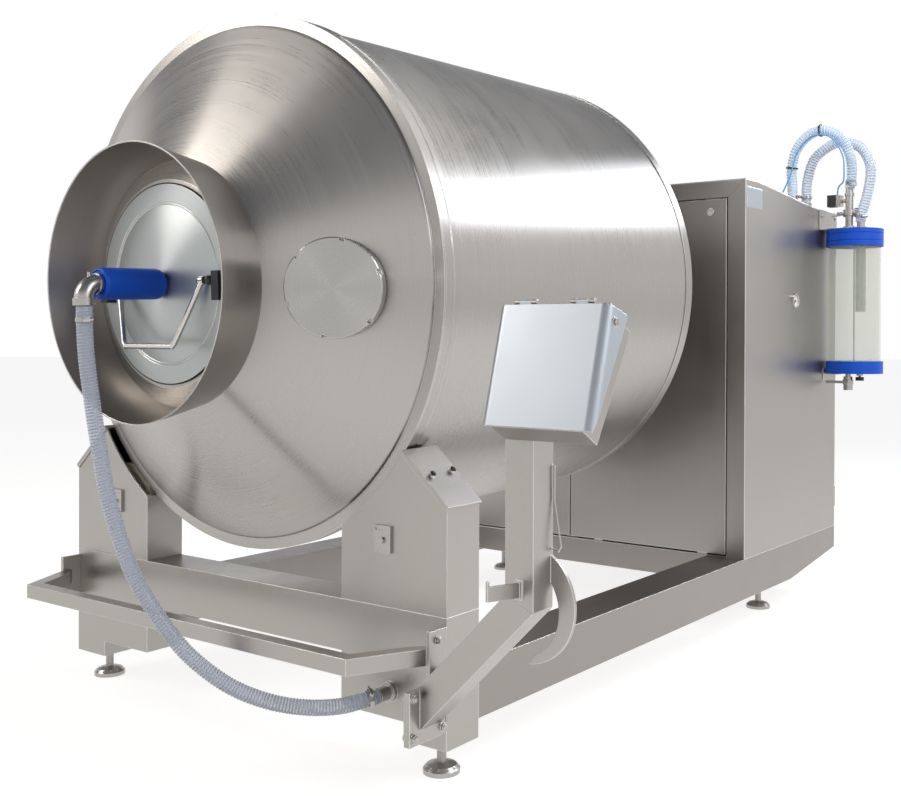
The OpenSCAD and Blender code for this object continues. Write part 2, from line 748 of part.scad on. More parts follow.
// fixed pins and knuckles of a rear door
module door_pins() {
    for (z = door_hinges) {
        cyl_z(door_pin - fit, z - 44, z + 44, door_hinge_x, door_hinge_y);
        for (k = [-45, 31]) {
            cyl_z(7, z + k, z + k + 14, door_hinge_x, door_hinge_y);
            box(frame_half - sheet, frame_half, rear_end - 12, door_hinge_y, z + k, z + k + 14);
        }
    }
}
// folded flange at the rear of a side
module rear_flange(x0, x1) {
    box(x0, x1, rear_end - sheet - 6, rear_end - 6, rail_top + sheet, cabinet_rear_top - 10);
}
module cabinet_side_right() color(steel) {
    difference() {
        side_shape(frame_half - sheet, frame_half);
        cyl_x(12, frame_half - 5, frame_half + 1, gauge_y, gauge_z);
    }
    door_pins();
    // blank plate
    box(frame_half, frame_half + 1, cabinet_front_y + 11, cabinet_front_y + 156,
        cabinet_top - 109, cabinet_top - 30);
    rear_flange(frame_half - 30, frame_half - sheet);
}
module cabinet_side_left() color(steel) {
    side_shape(-frame_half, -frame_half + sheet);
    mirror_x() door_pins();
    rear_flange(-frame_half + sheet, -frame_half + 30);
}
module cabinet_roof() color(steel) {
    y0 = sockets[0][1] - 60;
    y1 = sockets[1][1] + 65;
    x0 = sockets[0][0] - 39;
    x1 = sockets[1][0] + 55;
    difference() {
        yz([[cabinet_front_y, cabinet_top - sheet], [cabinet_front_y, cabinet_top],
            [roof_break, cabinet_top], [rear_end, cabinet_rear_top],
            [rear_end, cabinet_rear_top - sheet], [roof_break, cabinet_top - sheet]],
            -frame_half, frame_half);
        for (p = sockets) cyl_z(19.5, cabinet_rear_top - 40, cabinet_top + 30, p[0], p[1]);
        cyl_z(4, cabinet_rear_top - 40, cabinet_top + 30, air_hole[0], air_hole[1]);
    }
    // hose sockets with a shared foot
    difference() {
        union() {
            yz([[y0, roof_z(y0) - 0.1], [y1, roof_z(y1) - 0.1], [y1, roof_z(y1) + 6],
                [y0, roof_z(y0) + 6]], x0, x1);
            for (p = sockets) cyl_z(filter_hose_r, roof_z(p[1]) - 1, socket_top, p[0], p[1]);
        }
        for (p = sockets) cyl_z(17, cabinet_rear_top - 40, cabinet_top + 30, p[0], p[1]);
        yz([[y0 - 90, roof_z(y0 - 90) - 40], [y0 - 90, roof_z(y0 - 90) - 0.5],
            [y1 + 40, roof_z(y1 + 40) - 0.5], [y1 + 40, roof_z(y1 + 40) - 40]], x0 - 10, x1 + 10);
    }
}
// floor sheet, and the two cross members between the rails
module cross_member(y0, z0) {
    half = frame_half - rail_width;
    difference() {
        box(-half, half, y0, y0 + 90, z0, rail_top);
        box(-half - 1, half + 1, y0 + 5, y0 + 85, z0 + 5, rail_top - 5);
    }
}
module cabinet_floor() color(steel) {
    difference() {
        box(-frame_half + sheet, frame_half - sheet, cabinet_front_y + sheet, rear_end - 12,
            rail_top, rail_top + sheet);
        // cable and air opening
        box(-250, 250, rear_end - 460, rear_end - 110, rail_top - 1, rail_top + sheet + 1);
    }
    cross_member(cabinet_front_y, 187);
    cross_member(rear_end - 90, 200);
}
module cabinet_front() color(steel) {
    y0 = cabinet_front_y;
    difference() {
        union() {
            box(-frame_half, frame_half, y0, y0 + sheet, rail_top, cabinet_top - sheet);
            // folded edge around the opening
            box(-opening_x - sheet, opening_x + sheet, y0 + sheet, y0 + 30,
                rail_top + sheet, opening_z + sheet);
        }
        box(-opening_x, opening_x, y0 - 1, y0 + 31, rail_top + sheet, opening_z);
    }
    // middle strip that carries the two loose panels
    box(-25, 25, y0 + 12.3, y0 + 15, rail_top + sheet, shaft_z - 240);
    box(-25, 25, y0 + 12.3, y0 + 15, shaft_z + 240, opening_z + 1);
    // tabs that the panel locks grip
    for (x = [-lock_x, lock_x]) box(x - 28, x + 28, y0 + 12.3, y0 + 15, lock_z + 31, opening_z + 1);
}
module front_panel_right_shape() {
    y0 = cabinet_front_y;
    x1 = opening_x - panel_gap;
    z0 = rail_top + sheet + 7;
    z1 = opening_z - panel_gap;
    difference() {
        union() {
            box(3, x1, y0 - 2, y0 + 1, z0, z1);
            difference() {
                box(3, x1, y0 + 1, y0 + 12, z0, z1);
                box(3 + sheet, x1 - sheet, y0, y0 + 13, z0 + sheet, z1 - sheet);
            }
        }
        // room for the shaft
        in_drum() cyl_y(shaft_r + 45, cabinet_front_y - 117, cabinet_front_y + 83, 0, 0);
        cyl_y(lock_r + fit, y0 - 10, y0 + 20, lock_x, lock_z);
    }
    // hooks that hang the panel on its sill
    for (x = [120, frame_half - 200]) box(x, x + 40, y0 + 1, y0 + 9, z0 - 6.8, z0 + 1);
}
module front_panel_right() color(steel) front_panel_right_shape();
module front_panel_left() color(steel) mirror_x() front_panel_right_shape();
module panel_lock_shape() {
    y0 = cabinet_front_y;
    difference() {
        union() {
            cyl_y(lock_r + 3, y0 - 7, y0 - 2.2, lock_x, lock_z);
            cyl_y(lock_r, y0 - 7, y0 + 15.5, lock_x, lock_z);
        }
        // key recess
        translate([lock_x, y0 - 8, lock_z]) rotate([-90, 0, 0]) cylinder(r = 6, h = 6, $fn = 3);
    }
    // cam that grips behind the frame when turned
    box(lock_x - 8, lock_x + 8, y0 + 15.3, y0 + 18.3, lock_z - 8, lock_z + 45);
}
module panel_lock_right() color(dark_steel) panel_lock_shape();
module panel_lock_left() color(dark_steel) mirror_x() panel_lock_shape();

module rear_door_right_shape() {
    y1 = rear_end;
    x1 = frame_half - 12;
    z0 = rail_top + 13.5;
    z1 = cabinet_rear_top - 10;
    difference() {
        union() {
            box(2, x1, y1 - sheet, y1, z0, z1);
            difference() {
                box(2, x1 - 20, y1 - 18, y1 - sheet, z0, z1 - 13);
                box(2 + sheet, x1 - 20 - sheet, y1 - 19, y1 - sheet + 1, z0 + sheet, z1 - 13 - sheet);
            }
        }
        // air slots
        for (k = [0:7]) box(frame_half - 550, frame_half - 250, y1 - 5, y1 + 1,
            z0 + 120 + 22 * k, z0 + 130 + 22 * k);
    }
    // hinge knuckles on the outer edge
    for (z = door_hinges) difference() {
        union() {
            cyl_z(7, z - 30, z + 30, door_hinge_x, door_hinge_y);
            box(door_hinge_x - 23, door_hinge_x, y1 - 0.5, y1 + 3, z - 30, z + 30);
        }
        cyl_z(door_pin, z - 40, z + 40, door_hinge_x, door_hinge_y);
    }
    // fixed pull grip
    for (z = [935, 1045]) cyl_y(6, y1 - 1, y1 + 30, 60, z);
    rod([60, y1 + 30, 925], [60, y1 + 30, 1055], 7);
}
module rear_door_right() color(steel) rear_door_right_shape();
module rear_door_left() color(steel) mirror_x() rear_door_right_shape();

module gauge_body() color(steel) {
    x0 = frame_half;
    difference() {
        union() {
            cyl_x(32, x0, x0 + 12, gauge_y, gauge_z);
            cyl_x(11.5, x0 - 20, x0 + 1, gauge_y, gauge_z);
        }
        cyl_x(28.5, x0 + 4, x0 + 13, gauge_y, gauge_z);
    }
    cyl_x(2, x0 + 3, x0 + 9, gauge_y, gauge_z);
}
module gauge_needle() color(black) {
    x0 = frame_half + 5;
    difference() {
        union() {
            cyl_x(5, x0, x0 + 3, gauge_y, gauge_z);
            translate([x0, gauge_y, gauge_z]) rotate([135, 0, 0]) box(0, 1.5, -1.5, 1.5, 0, 24);
        }
        cyl_x(2 + fit, x0 - 1, x0 + 4, gauge_y, gauge_z);
    }
}

// Filter beside the cabinet
module filter_bracket() color(steel) {
    x = frame_half;
    box(x, x + 5, filter_y - 92, rear_end, filter_top, filter_top + 90);
    difference() {
        box(x + 5, filter_x + 20, filter_y - 70, filter_y + 70, filter_top + gap, filter_top + 6);
        cyl_z(30.3, filter_top - 26, filter_top + 24, in_x, filter_y);
        cyl_z(24.3, filter_top - 26, filter_top + 24, out_x, filter_y);
    }
    for (y = [filter_y - 65, rear_end - 20]) cyl_x(8, x + 5, x + 9, y, filter_top + 64);
    // lower stay that holds the base
    box(x, x + 4, filter_y - 40, filter_y + 40, base_low - 30, base_low + 20);
    box(x + 4, filter_x - 60, filter_y - 25, filter_y + 25, base_low - 6, base_low - gap);
}
module filter_head() color(blue) {
    z0 = filter_top - head_height;
    difference() {
        cyl_z(filter_cap_r, z0, filter_top, filter_x, filter_y);
        // seat of the bowl
        cyl_z(filter_bowl_r + gap, z0 - 1, z0 + seat_depth, filter_x, filter_y);
        // passages
        cyl_z(16, z0 - 10, filter_top + 14, in_x, filter_y);
        cyl_z(16, z0 - 10, filter_top + 14, out_x, filter_y);
        // rod hole and two shallow grooves around the cap
        cyl_z(4.5, z0 - 10, z0 + 25, rod_x, filter_y);
        for (z = [filter_top - 54, filter_top - 22]) difference() {
            cyl_z(filter_cap_r + 2, z, z + 3, filter_x, filter_y);
            cyl_z(filter_cap_r - 2, z - 1, z + 4, filter_x, filter_y);
        }
    }
}
module filter_bowl() color(clear) difference() {
    z0 = base_low + base_height - 8;
    z1 = filter_top - head_height + seat_depth;
    cyl_z(filter_bowl_r, z0, z1, filter_x, filter_y);
    cyl_z(filter_bowl_r - bowl_wall, z0 - 6, z1 + 8, filter_x, filter_y);
}
module filter_base() color(blue) difference() {
    z1 = base_low + base_height;
    cyl_z(filter_cap_r, base_low, z1, filter_x, filter_y);
    cyl_z(filter_bowl_r + gap, z1 - 8, z1 + 6, filter_x, filter_y);
    cyl_z(filter_bowl_r - bowl_wall - 3, z1 - 16, z1 + 6, filter_x, filter_y);
    cyl_z(screw_r, base_low - 10, z1 + 6, drain_x, filter_y);
}
module filter_sieve() color(steel) {
    z1 = filter_top - head_height + seat_depth;
    cyl_z(4, base_low + base_height - 16, z1 + 13, rod_x, filter_y);
    difference() {
        cyl_z(22, z1 - 300, z1, out_x, filter_y);
        cyl_z(19, z1 - 297, z1 + 1, out_x, filter_y);
        for (k = [0:5], j = [0:4])
            translate([out_x, filter_y, z1 - 272 + 50 * j]) rotate([0, 0, 60 * k])
                translate([15, -3, 0]) cube([10, 6, 30]);
    }
}
module filter_valve() color(steel) {
    z0 = filter_top;
    // tee and elbow on the head
    difference() {
        union() {
            cyl_z(26, z0, z0 + 16, in_x, filter_y);
            cyl_z(17, z0, z0 + 189, in_x, filter_y);
            cyl_z(24, z0 + 64, z0 + 89, in_x, filter_y);
            cyl_x(17, in_x - 25, in_x + 35, filter_y, z0 + 76);
            cyl_x(21, in_x + 27, in_x + 41, filter_y, z0 + 76);
            cyl_z(21, z0 + 150, z0 + 164, in_x, filter_y);
        }
        cyl_z(13, z0 - 26, z0 + 194, in_x, filter_y);
    }
    // stub for the second hose
    difference() {
        union() {
            cyl_z(23.5, z0, z0 + 12, out_x, filter_y);
            cyl_z(17, z0, z0 + 34, out_x, filter_y);
        }
        cyl_z(13, z0 - 26, z0 + 54, out_x, filter_y);
    }
    // actuator
    cyl_x(9, in_x - 35, in_x, filter_y, z0 + 131);
    box(in_x - 93, in_x - 33, filter_y - 20, filter_y + 20, z0 + 107, z0 + 157);
    // small vent cock
    cyl_x(8, in_x - 55, in_x - 15, filter_y, z0 + 74);
    box(in_x - 79, in_x - 43, filter_y - 6, filter_y + 6, z0 + 64, z0 + 68);
}
module drain_valve() color(steel) {
    difference() {
        union() {
            cyl_z(screw_r - 0.1, base_low - 30, base_low + 40, drain_x, filter_y);
            cyl_z(20, base_low - 75, base_low - 15, drain_x, filter_y);
            cyl_z(23, base_low - 50, base_low - 28, drain_x, filter_y);
        }
        cyl_z(8, base_low - 90, base_low + 50, drain_x, filter_y);
    }
    // seat of the bleed screw
    difference() {
        cyl_z(14, base_low - 10, base_low - 0.2, bleed_x, filter_y);
        cyl_z(5 + fit, base_low - 15, base_low + 5, bleed_x, filter_y);
    }
    // spindle of the lever
    cyl_y(5, filter_y - 34, filter_y - 15, drain_x, base_low - 39);
}
module drain_lever() color(steel) {
    z = base_low - 39;
    difference() {
        union() {
            cyl_y(10, filter_y - 33, filter_y - 26, drain_x, z);
            box(drain_x - 91, drain_x, filter_y - 32, filter_y - 28, z - 6, z + 6);
        }
        cyl_y(5 + fit, filter_y - 40, filter_y - 20, drain_x, z);
    }
}
module bleed_knob() color(black) {
    cyl_z(5, base_low - 18, base_low - 1, bleed_x, filter_y);
    difference() {
        cyl_z(18, base_low - 32, base_low - 16, bleed_x, filter_y);
        for (k = [0:7]) rotate_about(bleed_x, filter_y, 45 * k)
            cyl_z(3, base_low - 35, base_low - 10, bleed_x + 19, filter_y);
    }
}
module intake_hose() color(clear) sweep(intake_route, filter_hose_r, 7, 12, [0, 1, 0]);
module outlet_hose() color(clear) sweep(outlet_route, filter_hose_r, 6, 12, [0, 1, 0]);
module air_line() color(blue) sweep(air_route, 3.2, 6, 8, [0, 1, 0]);
module front_hose() color(clear) sweep(front_route, front_hose_r, 4, 12, [0, 1, 0]);

// Vacuum lead in front of the lid
module rotary_hub() color(blue) in_mouth() difference() {
    turned([[0, -217.7], [34, -217.7], [40, -215.2], [42.5, -209], [42.5, -42], [40.5, -33],
        [36, -27], [30, -24], [0, -24]]);
    cyl_y(pipe_r + fit, -160, -20, 0, 0);
    cyl_y(15, -220, -150, 0, 0);
    // inner step of the front end
    difference() {
        cyl_y(36, -220, -214, 0, 0);
        cyl_y(29, -221, -213, 0, 0);
    }
}
module elbow_bend(r) {
    translate([0, -218, -41]) rotate([90, 0, 0]) rotate([0, -90, 0])
        rotate_extrude(angle = 90) translate([41, 0]) circle(r = r);
}
module lead_elbow() color(steel) in_mouth() difference() {
    union() {
        elbow_bend(25);
        // flange on the hub and flange on the hose
        cyl_y(28, -224, -218, 0, 0);
        cyl_z(28, -56, -37, 0, -259);
        // small plug on the bend
        cyl_z(5, 5, 30, 0, -242);
    }
    elbow_bend(14);
    cyl_y(15, -219, -210, 0, 0);
    cyl_z(15, -60, -40, 0, -259);
}

// Drum
module drum_shell() color(steel) in_drum() turned([[shell_r - shell_wall, rim_t], [shell_r, rim_t],
    [shell_r, drum_length - 1], [shell_r - shell_wall, drum_length - 1]]);

// space of the product port: its z axis stands square on the cone
module at_port() {
    s = -collar_base_s + (port_r - collar_base_r) * collar_base_s / (cone_r - collar_base_r);
    in_drum() rotate([0, port_az, 0]) translate([port_r, s, 0]) rotate([0, 0, port_lean])
        rotate([90, 0, 0]) children();
}
module front_head() color(steel) {
    s0 = -collar_base_s;
    // where the cone starts to bend, and the bend from there to the rim
    bend_s = rim_set - knuckle_r * cos(port_lean);
    bend_r = cone_r + bend_s / tan(port_lean) - knuckle_r * sin(port_lean);
    bend = [for (k = [0:5]) let (a = k * (90 - port_lean) / 5)
        [bend_r + knuckle_r * cos(a), rim_set - knuckle_r * sin(a)]];
    difference() {
        union() {
            in_drum() turned([[ring_r, rim_set], each bend, [collar_base_r, s0], [290, -mouth_s],
                [mouth_r, -mouth_s], [mouth_r, -mouth_s + 10], [287, -mouth_s + 10],
                [collar_base_r, s0 + 10], [cone_r - 4, rim_t], [ring_r, rim_t]]);
            at_port() translate([0, 0, -14]) cylinder(r = cap_r - 13, h = 44);
        }
        at_port() translate([0, 0, -40]) cylinder(r = cap_r - 31, h = 90);
    }
}
module running_ring() color(steel) in_drum() {
    s1 = rim_t + ring_width;
    g = ring_groove;
    turned([[shell_r, rim_t], [ring_r, rim_t], [ring_r, ring_mid - 5 - g], [ring_r - g, ring_mid - 5],
        [ring_r - g, ring_mid + 5], [ring_r, ring_mid + 5 + g], [ring_r, s1 - 3], [ring_r - 3, s1],
        [shell_r, s1]]);
}
module rear_head() color(steel) in_drum() {
    l = drum_length;
    turned([[shell_r + 3, l - 43], [shell_r + 3, l], [shell_r - 3, l + 9], [300, l + 150],
        [0, l + 150], [0, l + 138], [297, l + 138], [shell_r - 15, l - 1], [shell_r, l - 1],
        [shell_r, l - 43]]);
}
module collar() color(steel) in_drum() {
    s0 = -collar_base_s;
    s1 = s0 - collar_length;
    turned([[collar_base_r, s0], [collar_edge_r, s1], [collar_edge_r - 4, s1],
        [collar_base_r - 4, s0 - 2.2]]);
}
module drum_lid() color(steel) in_mouth() {
    bulge = 18;
    rs = (dome_r * dome_r + bulge * bulge) / (2 * bulge);
    difference() {
        union() {
            // flat rim
            difference() {
                cyl_y(lid_r, -6, 0, 0, 0);
                cyl_y(dome_r - 4, -10, 10, 0, 0);
            }
            // dome
            intersection() {
                translate([0, rs - 21, 0]) sphere(r = rs, $fn = 144);
                cyl_y(dome_r, -40, 0, 0, 0);
            }
            // pipe stub that runs inside the rotary hub
            cyl_y(pipe_r, -150, -12, 0, 0);
        }
        translate([0, rs - 21, 0]) sphere(r = rs - 6, $fn = 144);
        cyl_y(14, -170, 50, 0, 0);
        // fine groove around the dome
        difference() {
            cyl_y(dome_r + 3, -12, -4.5, 0, 0);
            cyl_y(dome_r, -15, 0, 0, 0);
        }
    }
}
// blocks on the lid, each with the pin of the bow handle
module lid_blocks() color(black) in_mouth() for (s = [-1, 1]) {
    box(s > 0 ? 229 : -257, s > 0 ? 257 : -229, -36, -6, -48, 30);
    cyl_x(pivot_pin, s > 0 ? 167 : -232, s > 0 ? 232 : -167, pivot_s, pivot_h);
    translate([s * 209, pivot_s, pivot_h]) rotate([0, 90, 0]) sphere(r = 13);
    cyl_x(8, s > 0 ? 165 : -168.5, s > 0 ? 168.5 : -165, pivot_s, pivot_h);
}
module bow_handle() color(steel) in_mouth() translate([0, pivot_s, pivot_h])
    rotate([-handle_lean, 0, 0]) {
        for (s = [-1, 1]) difference() {
            union() {
                cyl_x(11, s > 0 ? 172 : -190, s > 0 ? 190 : -172, 0, 0);
                rod([s * 180, 0, -8], [s * 110, 0, -172], 8);
                translate([s * 110, 0, -172]) sphere(r = 8.5);
                rod([s * 110, 0, -172], [s * 102, 0, -180], 8);
                translate([s * 102, 0, -180]) sphere(r = 8.5);
            }
            cyl_x(pivot_pin + fit, s > 0 ? 160 : -200, s > 0 ? 200 : -160, 0, 0);
        }
        cyl_x(8, -102, 102, 0, -180);
    }
module port_cap() color(steel) at_port() difference() {
    union() {
        translate([0, 0, 12]) cylinder(r = cap_r, h = 35);
        translate([0, 0, 47]) cylinder(r1 = cap_r, r2 = cap_r - 3, h = 3);
    }
    translate([0, 0, 11]) cylinder(r = cap_r - 13 + gap, h = 20);
    // rim notches for a hook key
    for (k = [0:5]) rotate([0, 0, 60 * k + 20]) translate([cap_r - 8, -7, 32]) cube([12, 14, 20]);
}
module drum_baffles() color(steel) in_drum() intersection() {
    cyl_y(shell_r - shell_wall, 40, drum_length - 30, 0, 0);
    for (k = [0:2]) rotate([0, 120 * k + 30, 0]) box(-4, 4, 80, drum_length - 50,
        shell_r - 172, shell_r + 28);
}
module drum_shaft() color(dark_steel) in_drum() {
    s0 = drum_length + 170;
    cyl_y(shaft_r, s0, drive_s + 140, 0, 0);
    cyl_y(shaft_r + 120, s0 - 20, s0 + 2, 0, 0);
    for (k = [0:7]) rotate([0, 45 * k, 0]) cyl_y(12, s0, s0 + 14, shaft_r + 85, 0);
}

// Rollers and drive
module roller_shape(x) {
    w = roller_width / 2;
    in_drum() difference() {
        union() {
            cyl_y(roller_r, ring_mid - w, ring_mid + w, x, roller_h);
            cyl_y(axle_r + 20, ring_mid - w - 6, ring_mid + w + 6, x, roller_h);
        }
        cyl_y(axle_r + fit, ring_mid - w - 16, ring_mid + w + 16, x, roller_h);
        // lightening grooves in the wheel faces
        for (s = [ring_mid - w - 1, ring_mid + w - 8]) difference() {
            cyl_y(roller_r - 23.7, s, s + 9, x, roller_h);
            cyl_y(axle_r + 25, s - 1, s + 10, x, roller_h);
        }
    }
}
module roller_right() color([0.6, 0.5, 0.3]) roller_shape(roller_x);
module roller_left() color([0.6, 0.5, 0.3]) roller_shape(-roller_x);
module roller_axles() color(dark_steel) for (s = [-1, 1]) {
    in_drum() cyl_y(axle_r, -28, ring_mid + 65, s * roller_x, roller_h);
    // keeper plate on the front
    translate([s * (roller_x + 2.4), 0, axle_z]) {
        difference() {
            box(-29, 29, -8, -0.2, -33, 39);
            box(-24, 24, -9, -5, 27, 34);
        }
        cyl_y(9, -14, -8, 0, 0);
    }
}
module shaft_bearing() color(dark_steel) {
    y0 = cabinet_front_y + 83;
    z0 = rail_top + sheet;
    difference() {
        union() {
            box(-200, 200, y0, y0 + 25, z0, shaft_z + 228.5);
            box(-260, 260, y0 - 40, y0 + 110, z0, z0 + 15.5);
            for (x = [-190, 174])
                yz([[y0 + 25, z0 + 15.5], [y0 + 105, z0 + 15.5], [y0 + 25, shaft_z - 60]], x, x + 16);
            in_drum() cyl_y(shaft_r + 65, y0 - 50, y0 + 70, 0, 0);
        }
        in_drum() cyl_y(shaft_r + fit, y0 - 100, y0 + 120, 0, 0);
    }
}
module drive_unit() color(dark_steel) {
    z0 = rail_top + sheet;
    difference() {
        union() {
            in_drum() {
                box(-175, 175, drive_s - 90, drive_s + 90, -180, 180);
                cyl_y(shaft_r + 40, drive_s - 110, drive_s + 105, 0, 0);
                // motor on the side of the gear case
                cyl_x(105, 175, 520, drive_s, -60);
                cyl_x(98, 520, 545, drive_s, -60);
                box(300, 420, drive_s - 40, drive_s + 40, 30, 70);
            }
            // stand under the gear case
            box(-80, 80, drive_s - 60, drive_s + 50, z0, shaft_z - 146);
            box(-160, 160, drive_s - 100, drive_s + 90, z0, z0 + 15.5);
        }
        in_drum() cyl_y(shaft_r + 2, drive_s - 150, drive_s + 150, 0, 0);
    }
}
module vacuum_pump() color(dark_steel) {
    z0 = rail_top + sheet;
    x = frame_half - 250;
    y = rear_end - 250;
    box(x - 170, x + 170, y - 220, y + 180, z0, z0 + 20.5);
    cyl_y(115, y - 190, y, x, z0 + 150.5);
    cyl_y(95, y, y + 160, x, z0 + 150.5);
    box(x - 50, x + 50, y - 170, y - 20, z0 + 15.5, z0 + 70.5);
    box(x - 50, x + 50, y + 20, y + 140, z0 + 15.5, z0 + 70.5);
    // separator box and the two pipes up to the roof
    box(x + 60, x + 190, y, y + 170, z0 + 20.5, z0 + 350.5);
    for (p = sockets) difference() {
        cyl_z(16.5, z0 + 340, cabinet_rear_top + 2, p[0], p[1]);
        cyl_z(13, z0 + 410, cabinet_rear_top + 12, p[0], p[1]);
    }
}

placed() front_beam();
placed() roller_pedestals();
placed() pedestal_covers();
placed() long_rails();
placed() levelling_feet();
placed() bumper_bar();
placed() control_arm();
placed() control_post();
placed() control_box();
placed() control_cover();
placed() cover_catch();
placed() control_panel();
placed() emergency_button();
placed() start_button();
placed() stop_button();
placed() cabinet_side_left();
placed() cabinet_side_right();
placed() cabinet_roof();
placed() cabinet_floor();
placed() cabinet_front();
placed() front_panel_left();
placed() front_panel_right();
placed() panel_lock_left();
placed() panel_lock_right();
placed() rear_door_left();
placed() rear_door_right();
placed() gauge_body();
placed() gauge_needle();
placed() filter_bracket();
placed() filter_head();
placed() filter_bowl();
placed() filter_base();
placed() filter_sieve();
placed() filter_valve();
placed() drain_valve();
placed() drain_lever();
placed() bleed_knob();
placed() intake_hose();
placed() outlet_hose();
placed() air_line();
placed() front_hose();
placed() lead_elbow();
placed() rotary_hub();
placed() drum_shell();
placed() front_head();
placed() running_ring();
placed() rear_head();
placed() collar();
placed() drum_lid();
placed() lid_blocks();
placed() bow_handle();
placed() port_cap();
placed() drum_baffles();
placed() drum_shaft();
placed() roller_left();
placed() roller_right();
placed() roller_axles();
placed() shaft_bearing();
placed() drive_unit();
placed() vacuum_pump();
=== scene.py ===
"""Vacuum marinator: finishes, hoses, small fittings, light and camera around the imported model."""
import math

import bmesh
import bpy
from mathutils import Matrix, Vector


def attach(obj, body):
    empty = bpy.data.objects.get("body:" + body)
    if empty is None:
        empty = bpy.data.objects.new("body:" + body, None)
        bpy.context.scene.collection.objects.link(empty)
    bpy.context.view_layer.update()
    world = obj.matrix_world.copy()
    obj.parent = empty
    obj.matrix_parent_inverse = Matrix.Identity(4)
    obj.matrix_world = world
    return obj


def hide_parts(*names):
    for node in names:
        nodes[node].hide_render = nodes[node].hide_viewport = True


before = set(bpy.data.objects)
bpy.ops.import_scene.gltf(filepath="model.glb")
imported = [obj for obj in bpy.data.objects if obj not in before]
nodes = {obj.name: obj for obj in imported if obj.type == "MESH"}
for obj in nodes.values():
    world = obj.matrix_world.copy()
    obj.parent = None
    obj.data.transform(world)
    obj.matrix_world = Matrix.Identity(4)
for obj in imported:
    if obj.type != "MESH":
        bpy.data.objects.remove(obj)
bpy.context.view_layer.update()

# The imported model's origin, seen from the middle of the front frame's face
ORIGIN = Vector((0.2732, 1.1563, 0))


def here(x, y, z):
    """A point given from the middle of the front frame's face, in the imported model's space."""
    return Vector((x, y, z)) - ORIGIN


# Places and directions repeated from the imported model, in metres
DRUM_TILT = math.radians(2)
DRUM_CENTRE = here(0, 0.001, 1.298)
DRUM_AXIS = Vector((0, math.cos(DRUM_TILT), math.sin(DRUM_TILT)))
DRUM_SPACE = Matrix.Translation(DRUM_CENTRE) @ Matrix.Rotation(DRUM_TILT, 4, "X")
PORT_CENTRE = DRUM_SPACE @ Vector((0.530, -0.1206, -0.0222))
PORT_AXIS = DRUM_SPACE.to_3x3() @ Vector((0.4745, -0.8801, -0.0199))
MOUTH = -0.25

FRONT_ROUTE = [(0, -505.5, 1223), (0, -505, 1180), (0, -500, 1100), (3, -490, 1010), (15, -480, 900),
               (28, -470, 800), (45, -458, 700), (85, -430, 550), (130, -398, 447), (193, -352, 338),
               (257, -307, 268), (321, -262, 221), (397, -208, 190), (474, -158, 180), (545, -122, 188),
               (590, -92, 202), (606, -70, 207), (609, -52, 208)]
INTAKE_ROUTE = [(654, 2660, 1762), (652, 2658, 1840), (650, 2655, 1910), (674, 2652, 2000),
                (735, 2652, 2062), (806, 2652, 2073), (874, 2652, 2034), (917, 2660, 1955),
                (921, 2675, 1866), (906, 2690, 1815)]
OUTLET_ROUTE = [(700, 2705, 1762), (704, 2710, 1865), (730, 2725, 1960), (790, 2735, 2012),
                (845, 2735, 2030), (891, 2735, 2020), (945, 2730, 1993), (985, 2720, 1926),
                (992, 2710, 1855), (976, 2700, 1757), (960, 2690, 1700), (957, 2690, 1661)]
AIR_ROUTE = [(585, 2640, 1700), (604, 2632, 1780), (655, 2625, 1880), (685, 2622, 1975),
             (742, 2620, 2040), (810, 2620, 2050), (862, 2622, 2016), (897, 2626, 1945),
             (900, 2633, 1885), (897, 2639, 1847), (888, 2649, 1833), (875, 2662, 1828),
             (863, 2676, 1823), (854, 2686, 1810), (850, 2690, 1784)]


def tint(code):
    """Linear colour of an sRGB hex value."""
    parts = [int(code[i:i + 2], 16) / 255 for i in (1, 3, 5)]
    return [c / 12.92 if c <= 0.04045 else ((c + 0.055) / 1.055) ** 2.4 for c in parts] + [1.0]


def add(tree, kind, inputs=None, **settings):
    """Adds a node with its settings; each input takes a value or another node's output."""
    node = tree.nodes.new(kind)
    for name, value in settings.items():
        setattr(node, name, value)
    for socket, value in (inputs or {}).items():
        if isinstance(value, bpy.types.NodeSocket):
            tree.links.new(value, node.inputs[socket])
        else:
            node.inputs[socket].default_value = value
    return node


# Camera at the photograph's viewing angle
FOCAL_PX = 1117.45
CENTRE_PX = (520.0, 341.78)
PICTURE_PX = (901, 796)
SENSOR_MM = 36
YAW, PITCH, ROLL = (math.radians(a) for a in (35.465, 0.264, 0.212))
CAMERA_PLACE = (2.5984, -2.2078, 1.1471)
CAMERA_REACH = 200


def place_camera():
    """Sets the camera where the photograph was taken from."""
    right = Vector((math.cos(YAW), math.sin(YAW), 0))
    ahead = Vector((-math.sin(YAW) * math.cos(PITCH), math.cos(YAW) * math.cos(PITCH), -math.sin(PITCH)))
    above = right.cross(ahead)
    across = right * math.cos(ROLL) + above * math.sin(ROLL)
    above = above * math.cos(ROLL) - right * math.sin(ROLL)
    data = bpy.data.cameras.new("camera")
    data.sensor_width = SENSOR_MM
    data.lens = FOCAL_PX * SENSOR_MM / PICTURE_PX[0]
    data.shift_x = (PICTURE_PX[0] / 2 - CENTRE_PX[0]) / PICTURE_PX[0]
    data.shift_y = (CENTRE_PX[1] - PICTURE_PX[1] / 2) / PICTURE_PX[0]
    data.clip_end = CAMERA_REACH
    camera = bpy.data.objects.new("camera", data)
    turn = Matrix((across, above, -ahead)).transposed().to_4x4()
    camera.matrix_world = Matrix.Translation(here(*CAMERA_PLACE)) @ turn
    bpy.context.collection.objects.link(camera)
    bpy.context.scene.camera = camera


place_camera()


